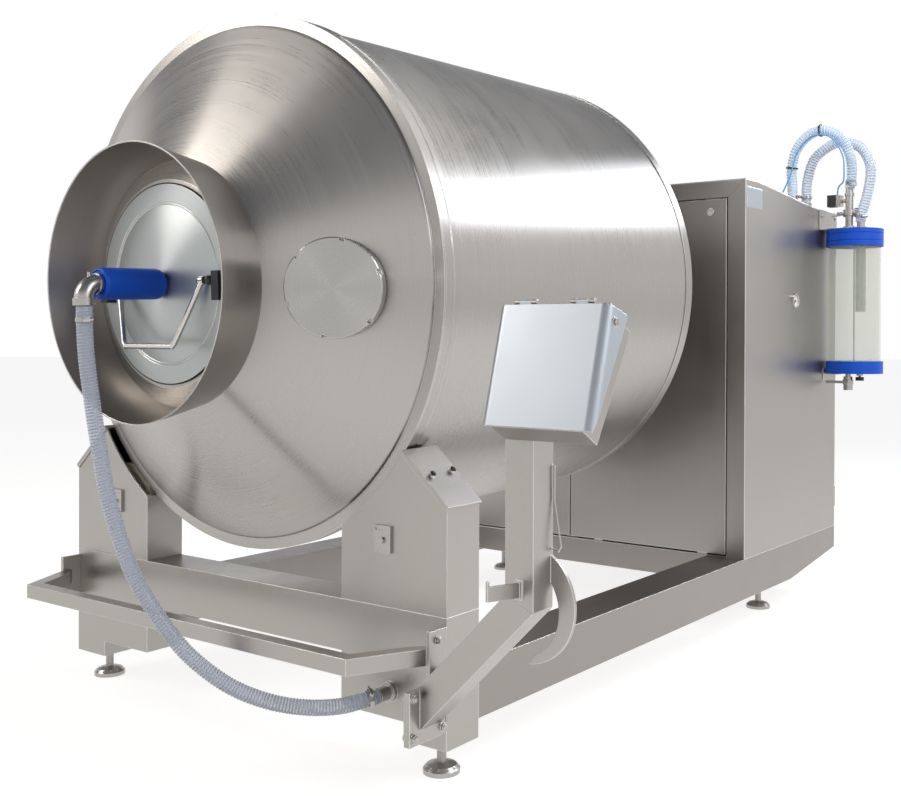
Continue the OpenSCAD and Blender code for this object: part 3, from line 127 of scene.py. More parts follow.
def add_mesh(name, vertices, faces, material, smooth=True, edges=()):
    """Makes a mesh object at the origin with one finish."""
    mesh = bpy.data.meshes.new(name)
    mesh.from_pydata([tuple(v) for v in vertices], list(edges), faces)
    mesh.materials.append(material)
    for polygon in mesh.polygons:
        polygon.use_smooth = smooth
    piece = bpy.data.objects.new(name, mesh)
    bpy.context.collection.objects.link(piece)
    return piece


FINE_STEPS = 40


def even_points(route, step):
    """Smooth line through the route's points in millimetres, cut to even steps in metres."""
    knots = [here(*(Vector(p) / 1000)) for p in route]
    ends = [knots[0]] + knots + [knots[-1]]
    fine = []
    for a, b, c, d in zip(ends, ends[1:], ends[2:], ends[3:]):
        for k in range(FINE_STEPS):
            t = k / FINE_STEPS
            fine.append(0.5 * (2 * b + (c - a) * t + (2 * a - 5 * b + 4 * c - d) * t * t
                               + (3 * b - a - 3 * c + d) * t ** 3))
    fine.append(knots[-1])
    total = sum((q - p).length for p, q in zip(fine, fine[1:]))
    count = round(total / step)
    points, gone, due = [fine[0]], 0.0, total / count
    for p, q in zip(fine, fine[1:]):
        span = (q - p).length
        while span > 0 and gone + span >= due * len(points) and len(points) < count:
            points.append(p.lerp(q, (due * len(points) - gone) / span))
        gone += span
    points.append(fine[-1])
    return points, total


# Finishes of steel

# Height of the grain that the bumps stand for
GRAIN_HEIGHT = 0.0004
# Height of the grain of mouldings, and their soft edge
SPECK_HEIGHT = 0.0003
MOULDED_EDGE = 0.0015


def new_finish(name, **sockets):
    """A material with its shader's own sockets set; underscores stand for spaces in their names."""
    material = bpy.data.materials.new(name)
    material.use_nodes = True
    tree = material.node_tree
    shader = tree.nodes["Principled BSDF"]
    for socket, value in sockets.items():
        shader.inputs[socket.replace("_", " ")].default_value = value
    return material, tree, shader


def link(tree, output, shader, socket):
    """Links a node's first output to one of the shader's sockets."""
    tree.links.new(output.outputs[0], shader.inputs[socket])


# Colour of the highlight painted along edges
EDGE_HIGHLIGHT = "#f4f1ee"
# How far the soft edge agrees with the true face where the painted edge highlight starts and where it is
# full, and the most that it lightens
HIGHLIGHT_STARTS, HIGHLIGHT_FULL, HIGHLIGHT_MOST = 0.985, 0.86, 0.85


def painted_edge_highlights(tree, shade, edge):
    """Paints a highlight into a colour where the soft edge turns away from the true face."""
    face = add(tree, "ShaderNodeNewGeometry")
    lean = add(tree, "ShaderNodeVectorMath", {0: edge.outputs[0], 1: face.outputs["Normal"]},
               operation="DOT_PRODUCT")
    sheen_share = add(tree, "ShaderNodeMapRange", {"Value": lean.outputs["Value"], "From Min": HIGHLIGHT_STARTS,
                                           "From Max": HIGHLIGHT_FULL, "To Min": 0.0, "To Max": HIGHLIGHT_MOST})
    return add(tree, "ShaderNodeMix", {"Factor": sheen_share.outputs[0], "A": shade.outputs["Result"],
                                       "B": tint(EDGE_HIGHLIGHT)}, data_type="RGBA")


def worn_steel_edge_sheen(name, base, low, high, stretch, grit=0.0, soft_edge=0.0025, stains=5.0, depth=0.25):
    """Stainless steel with painted highlights on its edges: stretch is the grain's scale along x, y and z,
    low and high the roughness.
    """
    material, tree, shader = new_finish(name, Metallic=1.0)
    place = add(tree, "ShaderNodeTexCoord").outputs["Object"]
    grain_at = add(tree, "ShaderNodeMapping", {"Vector": place, "Scale": stretch})
    grain = add(tree, "ShaderNodeTexNoise", {"Vector": grain_at.outputs[0], "Scale": 1.0, "Detail": 3.0})
    cloud = add(tree, "ShaderNodeTexNoise", {"Vector": place, "Scale": stains, "Detail": 4.0,
                                             "Roughness": 0.6})
    both = add(tree, "ShaderNodeMix", {"Factor": 0.45, "A": cloud.outputs[0], "B": grain.outputs[0]})
    rough = add(tree, "ShaderNodeMapRange", {"Value": both.outputs[0], "From Min": 0.35, "From Max": 0.65,
                                             "To Min": low, "To Max": high})
    shade = add(tree, "ShaderNodeMix", {"Factor": both.outputs[0], "A": tint(base[0]), "B": tint(base[1])},
                data_type="RGBA")
    edge = add(tree, "ShaderNodeBevel", {"Radius": soft_edge}, samples=4)
    bump = add(tree, "ShaderNodeBump", {"Height": grain.outputs[0], "Normal": edge.outputs[0],
                                        "Strength": depth, "Distance": GRAIN_HEIGHT})
    if grit:
        speck = add(tree, "ShaderNodeTexNoise", {"Vector": place, "Scale": grit, "Detail": 1.0})
        bump = add(tree, "ShaderNodeBump", {"Height": speck.outputs[0], "Normal": bump.outputs[0],
                                            "Strength": 0.2, "Distance": GRAIN_HEIGHT})
    # Painted highlight along the edges
    shade = painted_edge_highlights(tree, shade, edge)
    tree.links.new(shade.outputs["Result"], shader.inputs["Base Color"])
    link(tree, rough, shader, "Roughness")
    link(tree, bump, shader, "Normal")
    return material


RINGS_PER_METRE = 260.0
RING_DRIFT = 2.2


def ring_brushed(name, base, low, high, centre, axis, gloss_spread, by_radius, depth=0.1, soft_edge=0.0025):
    """Stainless steel brushed in rings around an axis, which draws highlights out across the rings."""
    material, tree, shader = new_finish(name, Metallic=1.0, Anisotropic=gloss_spread,
                                        Anisotropic_Rotation=0.25)
    place = add(tree, "ShaderNodeTexCoord").outputs["Object"]
    arm = add(tree, "ShaderNodeVectorMath", {0: place, 1: centre}, operation="SUBTRACT")
    along = add(tree, "ShaderNodeVectorMath", {0: arm.outputs[0], 1: axis}, operation="DOT_PRODUCT")
    around = add(tree, "ShaderNodeVectorMath", {0: axis, 1: arm.outputs[0]}, operation="CROSS_PRODUCT")
    reach = add(tree, "ShaderNodeVectorMath", {0: around.outputs[0]}, operation="LENGTH")
    ring_value = reach.outputs["Value"] if by_radius else along.outputs["Value"]
    fine = add(tree, "ShaderNodeMath", {0: ring_value, 1: RINGS_PER_METRE}, operation="MULTIPLY")
    slow = add(tree, "ShaderNodeVectorMath", {0: around.outputs[0], "Scale": RING_DRIFT}, operation="SCALE")
    spot = add(tree, "ShaderNodeCombineXYZ", {"Y": fine.outputs[0]})
    grain_at = add(tree, "ShaderNodeVectorMath", {0: slow.outputs[0], 1: spot.outputs[0]}, operation="ADD")
    grain = add(tree, "ShaderNodeTexNoise", {"Vector": grain_at.outputs[0], "Scale": 1.0, "Detail": 2.0})
    cloud = add(tree, "ShaderNodeTexNoise", {"Vector": place, "Scale": 3.0, "Detail": 4.0,
                                             "Roughness": 0.55})
    both = add(tree, "ShaderNodeMix", {"Factor": 0.5, "A": cloud.outputs[0], "B": grain.outputs[0]})
    rough = add(tree, "ShaderNodeMapRange", {"Value": both.outputs[0], "From Min": 0.35, "From Max": 0.65,
                                             "To Min": low, "To Max": high})
    shade = add(tree, "ShaderNodeMix", {"Factor": both.outputs[0], "A": tint(base[0]), "B": tint(base[1])},
                data_type="RGBA")
    edge = add(tree, "ShaderNodeBevel", {"Radius": soft_edge}, samples=4)
    bump = add(tree, "ShaderNodeBump", {"Height": grain.outputs[0], "Normal": edge.outputs[0],
                                        "Strength": depth, "Distance": GRAIN_HEIGHT})
    # Painted highlight along the edges
    shade = painted_edge_highlights(tree, shade, edge)
    brush = add(tree, "ShaderNodeVectorTransform", {"Vector": around.outputs[0]}, vector_type="VECTOR",
                convert_from="OBJECT", convert_to="WORLD")
    tree.links.new(shade.outputs["Result"], shader.inputs["Base Color"])
    link(tree, rough, shader, "Roughness")
    link(tree, bump, shader, "Normal")
    link(tree, brush, shader, "Tangent")
    return material


# Bead-blasted 304 plate: an even satin with faint handling marks, and painted highlights along its edges
BLASTED = worn_steel_edge_sheen("bead_blasted_stainless", ("#a29e99", "#b0aca7"), 0.30, 0.40, (90, 90, 90), grit=300.0,
                     soft_edge=0.0035)
# Hot-rolled and pickled section under the frame: a little darker and duller
PICKLED = worn_steel_edge_sheen("pickled_stainless", ("#8f8a85", "#9e9994"), 0.34, 0.46, (60, 60, 60), grit=260.0,
                     soft_edge=0.0035)
# Sheet brushed upwards, as the cabinet's panels are
BRUSHED_SHEET = worn_steel_edge_sheen("brushed_stainless_sheet", ("#9f9b97", "#ada9a5"), 0.34, 0.44,
                           (420, 420, 5), soft_edge=0.004)
# The control cover: finer brushing with a cold tone
BRUSHED_COVER = worn_steel_edge_sheen("brushed_cover_sheet", ("#a8aeb4", "#b6bcc1"), 0.38, 0.46,
                           (420, 420, 5))
# Turned and polished small parts
POLISHED = worn_steel_edge_sheen("polished_stainless", ("#c2bfbc", "#d0cdca"), 0.18, 0.26, (40, 40, 40), depth=0.05)
# Machined small parts, as fittings and bolts are
MACHINED = worn_steel_edge_sheen("machined_stainless", ("#a6a3a0", "#b4b1ae"), 0.24, 0.34, (200, 200, 200), depth=0.1,
                      soft_edge=0.001)
# Blackened screws in the pedestal covers
BURNISHED = worn_steel_edge_sheen("burnished_screws", ("#2c2b2a", "#3a3938"), 0.3, 0.4, (200, 200, 200), depth=0.1,
                       soft_edge=0.001)
DRUM_SHADES = ("#a39f9b", "#b4b0ac")
# Rolled shell, brushed around: fine circles along its length
SHELL_STEEL = ring_brushed("shell_ring_brushed", DRUM_SHADES, 0.25, 0.33, DRUM_CENTRE, DRUM_AXIS, 0.7,
                           False)
# Spun or turned fronts: circles around the middle, so light fans out from it
HEAD_STEEL = ring_brushed("head_ring_brushed", DRUM_SHADES, 0.25, 0.33, DRUM_CENTRE, DRUM_AXIS, 0.85,
                          True)
# The lid is spun smooth and colder in tone, and the port cap is faced on a lathe around its own middle
LID_STEEL = ring_brushed("lid_spun", ("#a4a8a8", "#b2b5b4"), 0.28, 0.36, DRUM_CENTRE, DRUM_AXIS, 0.75, True,
                         depth=0.02)
CAP_STEEL = ring_brushed("cap_faced", ("#a09e9c", "#bab8b5"), 0.24, 0.32, PORT_CENTRE, PORT_AXIS, 0.95, True,
                         depth=0.04)
COLLAR_STEEL = ring_brushed("collar_ring_brushed", ("#9c9792", "#aaa5a0"), 0.3, 0.38, DRUM_CENTRE, DRUM_AXIS,
                            0.5, False)


def plain_moulding(name, codes, rough, grain=500.0, depth=0.12, **sockets):
    """Moulded or turned plastic, rubber or paint with a fine grain."""
    material, tree, shader = new_finish(name, **sockets)
    place = add(tree, "ShaderNodeTexCoord").outputs["Object"]
    speck = add(tree, "ShaderNodeTexNoise", {"Vector": place, "Scale": grain, "Detail": 2.0})
    cloud = add(tree, "ShaderNodeTexNoise", {"Vector": place, "Scale": 9.0, "Detail": 3.0})
    shade = add(tree, "ShaderNodeMix",
                {"Factor": cloud.outputs[0], "A": tint(codes[0]), "B": tint(codes[1])}, data_type="RGBA")
    gloss = add(tree, "ShaderNodeMapRange", {"Value": cloud.outputs[0], "From Min": 0.3, "From Max": 0.7,
                                             "To Min": rough[0], "To Max": rough[1]})
    edge = add(tree, "ShaderNodeBevel", {"Radius": MOULDED_EDGE}, samples=4)
    bump = add(tree, "ShaderNodeBump", {"Height": speck.outputs[0], "Normal": edge.outputs[0],
                                        "Strength": depth, "Distance": SPECK_HEIGHT})
    tree.links.new(shade.outputs["Result"], shader.inputs["Base Color"])
    link(tree, gloss, shader, "Roughness")
    link(tree, bump, shader, "Normal")
    return material


# Turned blue polyamide of the hub and the filter caps: deep colour, soft gloss
BLUE_PLASTIC = plain_moulding("blue_polyamide", ("#004cc6", "#0256d0"), (0.42, 0.52),
                              Specular_IOR_Level=0.35)
BLACK_PLASTIC = plain_moulding("black_polyamide", ("#17171a", "#232326"), (0.35, 0.5))
BLACK_RUBBER = plain_moulding("black_rubber", ("#1b1b1c", "#262627"), (0.6, 0.75))
RED_PLASTIC = plain_moulding("red_button_moulding", ("#b01410", "#c41c16"), (0.25, 0.35))
GREEN_PLASTIC = plain_moulding("green_button_moulding", ("#12803a", "#189247"), (0.25, 0.35))
ROLLER_NYLON = plain_moulding("cast_nylon", ("#cfc6b2", "#dcd4c2"), (0.4, 0.55))
PUMP_PAINT = plain_moulding("painted_cast_iron", ("#4a5560", "#566270"), (0.35, 0.5), grain=160.0, depth=0.4)
SCREEN = plain_moulding("screen_glass", ("#0a0d12", "#10141b"), (0.08, 0.14), depth=0.0)
DIAL = plain_moulding("dial_enamel", ("#efefec", "#f6f6f4"), (0.3, 0.4))
# Cast acrylic bowl: clear with a grey-green edge
BOWL = new_finish("cast_acrylic", Base_Color=tint("#dfe2cc"), Roughness=0.05, IOR=1.49, Alpha=0.24)[0]
# Clear strainer tube in the bowl
STRAINER = new_finish("clear_strainer", Base_Color=tint("#a8adaf"), Roughness=0.12, IOR=1.49, Alpha=0.62)[0]
# Soft PVC hose: milky and bluish, see-through where one wall is looked at
HOSE = new_finish("soft_clear_hose", Base_Color=tint("#dde4f2"), Roughness=0.2, Alpha=0.55,
                  Coat_Weight=0.4, Coat_Roughness=0.1)[0]
PALE_HOSE = new_finish("pale_clear_hose", Base_Color=tint("#dcecfb"), Roughness=0.2, Alpha=0.45,
                       Coat_Weight=0.4, Coat_Roughness=0.1)[0]
HOSE_RIB = plain_moulding("hose_rib", ("#c3cadb", "#d2d9e8"), (0.25, 0.35), depth=0.02)
PALE_RIB = plain_moulding("pale_hose_rib", ("#b4d6f2", "#cde4f7"), (0.25, 0.35), depth=0.02)
AIR_TUBE = plain_moulding("blue_air_tube", ("#4fa3dc", "#62b2e6"), (0.25, 0.35))

FINISH_OF = {
    BLASTED: ["front_beam", "roller_pedestals", "pedestal_covers", "bumper_bar", "control_arm",
              "control_post", "control_box", "shaft_bearing", "filter_bracket"],
    PICKLED: ["long_rails", "cabinet_floor"],
    BRUSHED_SHEET: ["cabinet_side_left", "cabinet_side_right", "cabinet_roof", "cabinet_front",
                    "front_panel_left", "front_panel_right", "rear_door_left", "rear_door_right",
                    "control_panel"],
    BRUSHED_COVER: ["control_cover"],
    POLISHED: ["bow_handle", "gauge_body", "panel_lock_left", "panel_lock_right"],
    MACHINED: ["levelling_feet", "cover_catch", "filter_valve", "drain_valve",
               "drain_lever", "lead_elbow", "roller_axles", "drum_shaft"],
    SHELL_STEEL: ["drum_shell", "drum_baffles"],
    HEAD_STEEL: ["front_head", "running_ring", "rear_head"],
    COLLAR_STEEL: ["collar"],
    LID_STEEL: ["drum_lid"],
    CAP_STEEL: ["port_cap"],
    BLUE_PLASTIC: ["rotary_hub", "filter_head", "filter_base"],
    BLACK_PLASTIC: ["lid_blocks", "bleed_knob", "gauge_needle"],
    RED_PLASTIC: ["emergency_button", "stop_button"],
    GREEN_PLASTIC: ["start_button"],
    ROLLER_NYLON: ["roller_left", "roller_right"],
    PUMP_PAINT: ["drive_unit", "vacuum_pump"],
    BOWL: ["filter_bowl"],
    STRAINER: ["filter_sieve"],
    HOSE: ["front_hose", "intake_hose", "outlet_hose"],
    AIR_TUBE: ["air_line"],
}
for material, names in FINISH_OF.items():
    for name in names:
        nodes[name].data.materials.clear()
        nodes[name].data.materials.append(material)


# The world as every ray sees it: height of the direction, from the horizon to straight above, and colour
SKY = [(0.0, "#ffffff"), (0.31, "#ffffff"), (0.42, "#8c8f94"), (1.0, "#6f7276")]
FLOOR_PAINT = "#a8a6a2"
FLOOR_GLOW = 0.8
FLOOR_REACH = 60
FLOOR_CORNERS = 64


def set_stage():
    """Pale floor and soft world; the floor glows for the camera and in metal and glass."""
    world = bpy.data.worlds.new("studio")
    bpy.context.scene.world = world
    world.use_nodes = True
    tree = world.node_tree
    tree.nodes.clear()
    direction = add(tree, "ShaderNodeTexCoord").outputs["Generated"]
    parts = add(tree, "ShaderNodeSeparateXYZ", {0: direction})
    ramp = add(tree, "ShaderNodeValToRGB", {"Fac": parts.outputs["Z"]})
    for element, (position, code) in zip(ramp.color_ramp.elements, (SKY[0], SKY[-1])):
        element.position = position
        element.color = tint(code)
    for position, code in SKY[1:-1]:
        ramp.color_ramp.elements.new(position).color = tint(code)
    shine = add(tree, "ShaderNodeBackground", {"Color": ramp.outputs[0], "Strength": 1.0})
    add(tree, "ShaderNodeOutputWorld", {"Surface": shine.outputs[0]})

    floor_paint = bpy.data.materials.new("pale_floor")
    floor_paint.use_nodes = True
    tree = floor_paint.node_tree
    tree.nodes.clear()
    matt = add(tree, "ShaderNodeBsdfDiffuse", {"Color": tint(FLOOR_PAINT)})
    glow = add(tree, "ShaderNodeEmission", {"Color": (1, 1, 1, 1), "Strength": FLOOR_GLOW})
    lit = add(tree, "ShaderNodeAddShader", {0: matt.outputs[0], 1: glow.outputs[0]})
    ray = add(tree, "ShaderNodeLightPath")
    seen = ray.outputs["Is Camera Ray"]
    for kind in ("Is Transmission Ray", "Is Glossy Ray"):
        seen = add(tree, "ShaderNodeMath", {0: seen, 1: ray.outputs[kind]}, operation="MAXIMUM").outputs[0]
    mix = add(tree, "ShaderNodeMixShader", {"Fac": seen, 1: matt.outputs[0], 2: lit.outputs[0]})
    add(tree, "ShaderNodeOutputMaterial", {"Surface": mix.outputs[0]})
    turns = [2 * math.pi * k / FLOOR_CORNERS for k in range(FLOOR_CORNERS)]
    rim = [(FLOOR_REACH * math.cos(a), FLOOR_REACH * math.sin(a), 0) for a in turns]
    add_mesh("floor", rim, [list(range(FLOOR_CORNERS))], floor_paint, smooth=False)


# Plain studio softboxes: name, place, point that it looks at, width and length, power, colour
SOFTBOXES = [
    ("upper_softbox", (1.6, 1.6, 4.6), (0.2, 1.2, 1.0), (1.2, 5.0), 100, "#ffffff"),
    ("right_softbox", (5.5, 0.5, 4.0), (0.6, 0.8, 1.0), (3.0, 3.0), 100, "#f8fbff"),
    ("rear_softbox", (2.6, 6.2, 4.2), (0.6, 1.0, 1.2), (4.0, 1.4), 140, "#f0f6ff"),
    ("left_softbox", (-3.2, -3.4, 4.0), (0.0, 0.0, 1.0), (2.4, 2.4), 100, "#fffaf4"),
]


def softbox(name, place, target, size, power, code):
    """A soft lamp of that size that looks at a point and is seen only in reflections."""
    data = bpy.data.lights.new(name, "AREA")
    data.shape = "RECTANGLE"
    data.size, data.size_y = size
    data.energy = power
    data.color = tint(code)[:3]
    lamp = bpy.data.objects.new(name, data)
    aim = (target - place).to_track_quat("-Z", "Y").to_matrix().to_4x4()
    lamp.matrix_world = Matrix.Translation(place) @ aim
    lamp.visible_camera = False
    lamp.visible_transmission = False
    bpy.context.collection.objects.link(lamp)


set_stage()
for name, place, target, size, power, code in SOFTBOXES:
    softbox(name, here(*place), here(*target), size, power, code)


def tube(name, points, radius, sides, material):
    """A round tube mesh with closed ends along even points."""
    ahead = [(b - a).normalized() for a, b in zip(points, points[1:])]
    ahead.append(ahead[-1])
    across = ahead[0].orthogonal().normalized()
    vertices, faces = [], []
    for point, way in zip(points, ahead):
        across = (across - across.dot(way) * way).normalized()
        other = way.cross(across)
        for k in range(sides):
            a = 2 * math.pi * k / sides
            vertices.append(point + radius * (math.cos(a) * across + math.sin(a) * other))
    for i in range(len(points) - 1):
        for k in range(sides):
            m = (k + 1) % sides
            faces.append((i * sides + k, i * sides + m, (i + 1) * sides + m, (i + 1) * sides + k))
    faces.append(list(range(sides))[::-1])
    faces.append([(len(points) - 1) * sides + k for k in range(sides)])
    return add_mesh(name, vertices, faces, material)


# Forms grown along lines and on points

def new_tree(name, sockets):
    """A geometry tree with named inputs beside its geometry; gives the tree and the inputs' outputs."""
    tree = bpy.data.node_groups.new(name, "GeometryNodeTree")
    tree.interface.new_socket("Geometry", in_out="INPUT", socket_type="NodeSocketGeometry")
    for label, kind in sockets.items():
        tree.interface.new_socket(label, in_out="INPUT", socket_type=kind)
    tree.interface.new_socket("Geometry", in_out="OUTPUT", socket_type="NodeSocketGeometry")
    return tree, add(tree, "NodeGroupInput").outputs


def close_tree(tree, geometry, finish):
    """Ends a geometry tree: real geometry, smooth, in its finish."""
    whole = add(tree, "GeometryNodeRealizeInstances", {"Geometry": geometry})
    smooth = add(tree, "GeometryNodeSetShadeSmooth", {"Geometry": whole.outputs[0]})
    painted = add(tree, "GeometryNodeSetMaterial", {"Geometry": smooth.outputs[0], "Material": finish})
    add(tree, "NodeGroupOutput", {"Geometry": painted.outputs[0]})


# Steps that a coil's wire takes in one turn, and the sides of its section
STEPS_PER_TURN = 12
WIRE_SIDES = 6


def coil_tree():
    """A round wire wound around a line."""
    tree, given = new_tree("coil", {"Pitch": "NodeSocketFloat", "Radius": "NodeSocketFloat",
                                    "Wire": "NodeSocketFloat", "Finish": "NodeSocketMaterial"})
    line = add(tree, "GeometryNodeMeshToCurve", {"Mesh": given["Geometry"]})
    step = add(tree, "ShaderNodeMath", {0: given["Pitch"], 1: STEPS_PER_TURN}, operation="DIVIDE")
    even = add(tree, "GeometryNodeResampleCurve", {"Curve": line.outputs[0], "Length": step.outputs[0]},
               mode="LENGTH")
    count = add(tree, "GeometryNodeInputIndex")
    turn = add(tree, "ShaderNodeMath", {0: count.outputs[0], 1: 2 * math.pi / STEPS_PER_TURN},
               operation="MULTIPLY")
    upward = add(tree, "GeometryNodeInputNormal")
    along = add(tree, "GeometryNodeInputTangent")
    sideways = add(tree, "ShaderNodeVectorMath", {0: along.outputs[0], 1: upward.outputs[0]},
                   operation="CROSS_PRODUCT")
    reach = []
    for kind, way in (("COSINE", upward), ("SINE", sideways)):
        part = add(tree, "ShaderNodeMath", {0: turn.outputs[0]}, operation=kind)
        size = add(tree, "ShaderNodeMath", {0: part.outputs[0], 1: given["Radius"]}, operation="MULTIPLY")
        reach.append(add(tree, "ShaderNodeVectorMath", {0: way.outputs[0], "Scale": size.outputs[0]},
                         operation="SCALE"))
    offset = add(tree, "ShaderNodeVectorMath", {0: reach[0].outputs[0], 1: reach[1].outputs[0]},
                 operation="ADD")
    wound = add(tree, "GeometryNodeSetPosition", {"Geometry": even.outputs[0], "Offset": offset.outputs[0]})
    section = add(tree, "GeometryNodeCurvePrimitiveCircle", {"Resolution": WIRE_SIDES,
                                                             "Radius": given["Wire"]})
    wire = add(tree, "GeometryNodeCurveToMesh", {"Curve": wound.outputs[0],
                                                 "Profile Curve": section.outputs[0]})
    close_tree(tree, wire.outputs[0], given["Finish"])
    return tree


def dome_tree():
    """A flattened dome on every point, turned towards one side."""
    tree, given = new_tree("domes", {"Radius": "NodeSocketFloat", "Height": "NodeSocketFloat",
                                     "Towards": "NodeSocketVector", "Finish": "NodeSocketMaterial"})
    ball = add(tree, "GeometryNodeMeshUVSphere", {"Segments": 20, "Rings": 12, "Radius": 1.0})
    size = add(tree, "ShaderNodeCombineXYZ", {"X": given["Radius"], "Y": given["Radius"],
                                              "Z": given["Height"]})
    turn = add(tree, "FunctionNodeAlignRotationToVector", {"Vector": given["Towards"]}, axis="Z")
    many = add(tree, "GeometryNodeInstanceOnPoints",
               {"Points": given["Geometry"], "Instance": ball.outputs[0], "Rotation": turn.outputs[0],
                "Scale": size.outputs[0]})
    close_tree(tree, many.outputs[0], given["Finish"])
    return tree


def grow(name, tree, vertices, edges, **values):
    """Runs a geometry tree on points or lines and keeps the outcome as a plain mesh."""
    piece = add_mesh(name, vertices, [], values["Finish"], edges=edges)
    modifier = piece.modifiers.new(name, "NODES")
    modifier.node_group = tree
    for item in tree.interface.items_tree:
        if item.name in values:
            modifier[item.identifier] = values[item.name]
    graph = bpy.context.evaluated_depsgraph_get()
    mesh = bpy.data.meshes.new_from_object(piece.evaluated_get(graph), depsgraph=graph)
    piece.modifiers.clear()
    piece.data = mesh
    return piece


COIL = coil_tree()
DOMES = dome_tree()


def coil(name, points, pitch, radius, wire, finish):
    """A wire wound around a line of points."""
    edges = [(i, i + 1) for i in range(len(points) - 1)]
    return grow(name, COIL, points, edges, Pitch=pitch, Radius=radius, Wire=wire, Finish=finish)


def settle(piece, body):
    """Names a piece's body."""
    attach(piece, body)
    return piece


# Small turned and bent parts

def space_at(point, way, side=None):
    """A matrix whose z axis points along way, at a point."""
    up = Vector(way).normalized()
    across = Vector(side) if side else up.orthogonal()
    across = (across - across.dot(up) * up).normalized()
    turn = Matrix((across, up.cross(across), up)).transposed().to_4x4()
    return Matrix.Translation(point) @ turn


# Faces that meet at a larger angle than this keep a sharp edge
SHARP_FROM = math.radians(35)


def turned(name, profile, space, material, sides=40):
    """A ring or knob: pairs of radius and height around the space's z axis."""
    vertices, faces = [], []
    for radius, height in profile:
        for k in range(sides):
            a = 2 * math.pi * k / sides
            vertices.append(space @ Vector((radius * math.cos(a), radius * math.sin(a), height)))
    rows = len(profile)
    for i in range(rows):
        j = (i + 1) % rows
        for k in range(sides):
            m = (k + 1) % sides
            faces.append((i * sides + k, i * sides + m, j * sides + m, j * sides + k))
    piece = add_mesh(name, vertices, faces, material)
    piece.data.set_sharp_from_angle(angle=SHARP_FROM)
    return piece


def band_profile(inner, outer, low, high):
    """Rectangular section between two radii and two heights."""
    return [(inner, low), (outer, low), (outer, high), (inner, high)]


# Radius of the hole that a turned disc keeps in its middle, too small to be seen
MIDDLE = 0.0001


def block(name, space, low, high, material):
    """A box between two corners of a space."""
    corners = [space @ Vector((x, y, z)) for x in (low[0], high[0]) for y in (low[1], high[1])
               for z in (low[2], high[2])]
    faces = [(0, 1, 3, 2), (4, 6, 7, 5), (0, 4, 5, 1), (2, 3, 7, 6), (0, 2, 6, 4), (1, 5, 7, 3)]
    return add_mesh(name, corners, faces, material, smooth=False)


def joined(name, pieces):
    """Joins pieces of one finish into one mesh."""
    form = bmesh.new()
    for piece in pieces:
        form.from_mesh(piece.data)
    mesh = bpy.data.meshes.new(name)
    form.to_mesh(mesh)
    form.free()
    mesh.materials.append(pieces[0].data.materials[0])
    for piece in pieces:
        bpy.data.objects.remove(piece)
    whole = bpy.data.objects.new(name, mesh)
    bpy.context.collection.objects.link(whole)
    return whole


QUARTER_X = Matrix.Rotation(math.radians(90), 4, "X")
# Worm-drive clamp: half width and thickness of its band, reach of its screw past the hose, screw radius
CLAMP_HALF = 0.0055
CLAMP_THICK = 0.0012
SCREW_OUT = 0.0055
SCREW_RADIUS = 0.0042


def clamp(name, points, at, radius, side):
    """A worm-drive clamp around a hose at one of its points."""
    way = points[at + 1] - points[at - 1]
    space = space_at(points[at], way, side)
    band = turned(name, band_profile(radius, radius + CLAMP_THICK, -CLAMP_HALF, CLAMP_HALF), space, MACHINED)
    reach = radius + SCREW_OUT
    housing = block(name, space, (reach - 0.006, -0.009, -0.0065), (reach + 0.003, 0.009, 0.0065), MACHINED)
    spindle = space @ Matrix.Translation((reach, 0, 0)) @ QUARTER_X
    screw = turned(name, band_profile(MIDDLE, SCREW_RADIUS, -0.013, 0.016), spindle, MACHINED, sides=12)
    return joined(name, [band, housing, screw])


# Where cable ties hold the air line to the intake hose
TIED_AT = [(0.650, 2.655, 1.920), (0.790, 2.652, 2.073)]
TIE_HALF = 0.003
TIE_THICK = 0.0016
TIE_HEAD = 0.007


def cable_tie(points, spot, radius):
    """A dark cable tie with its head, around a hose at the point nearest to a spot."""
    at = min(range(1, len(points) - 1), key=lambda i: (points[i] - spot).length)
    space = space_at(points[at], points[at + 1] - points[at - 1], (0, -1, 0.4))
    band = turned("cable_tie", band_profile(radius, radius + TIE_THICK, -TIE_HALF, TIE_HALF), space,
                  BLACK_PLASTIC)
    head = block("cable_tie", space, (radius, -0.004, -0.0045), (radius + TIE_HEAD, 0.004, 0.0045),
                 BLACK_PLASTIC)
    return settle(joined("cable_tie_%d" % at, [band, head]), "frame")


HOSE_STEP = 0.012
AIR_STEP = 0.010
AIR_RADIUS = 0.0032
# Radius of a spiral rib's wire as a share of its pitch
RIB_SHARE = 0.17
# Each hose: route, outer radius, pitch of its rib, finishes of wall and rib, and the places of its clamps,
# counted from either end, with the side that their screws are on
HOSES = {
    "front_hose": (FRONT_ROUTE, 0.0215, 0.0085, HOSE, HOSE_RIB, {3: (1, -0.4, 0), -3: (0, -1, 0.6)}),
    "intake_hose": (INTAKE_ROUTE, 0.024, 0.0125, PALE_HOSE, PALE_RIB, {2: (1, 0, 0), -3: (1, -1, 0)}),
    "outlet_hose": (OUTLET_ROUTE, 0.024, 0.0125, PALE_HOSE, HOSE_RIB, {2: (0, -1, 0), -3: (1, -1, 0)}),
}
for name, (route, radius, pitch, finish, rib, clamps) in HOSES.items():
    points, length = even_points(route, HOSE_STEP)
    wire = pitch * RIB_SHARE
    piece = settle(tube(name + "_wall", points, radius - wire, 28, finish), "frame")
    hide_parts(name)
    spiral = coil(name + "_spiral", points, pitch, radius - wire, wire, rib)
    on_hose = [settle(spiral, "frame")]
    for place, side in clamps.items():
        at = place if place > 0 else len(points) + place
        held = clamp("%s_clamp_%d" % (name, at), points, at, radius, side)
        on_hose.append(settle(held, "frame"))
    if name == "intake_hose":
        on_hose += [cable_tie(points, here(*spot), radius + wire) for spot in TIED_AT]
points, length = even_points(AIR_ROUTE, AIR_STEP)
piece = settle(tube("air_line_tube", points, AIR_RADIUS, 14, AIR_TUBE), "frame")
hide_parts("air_line")

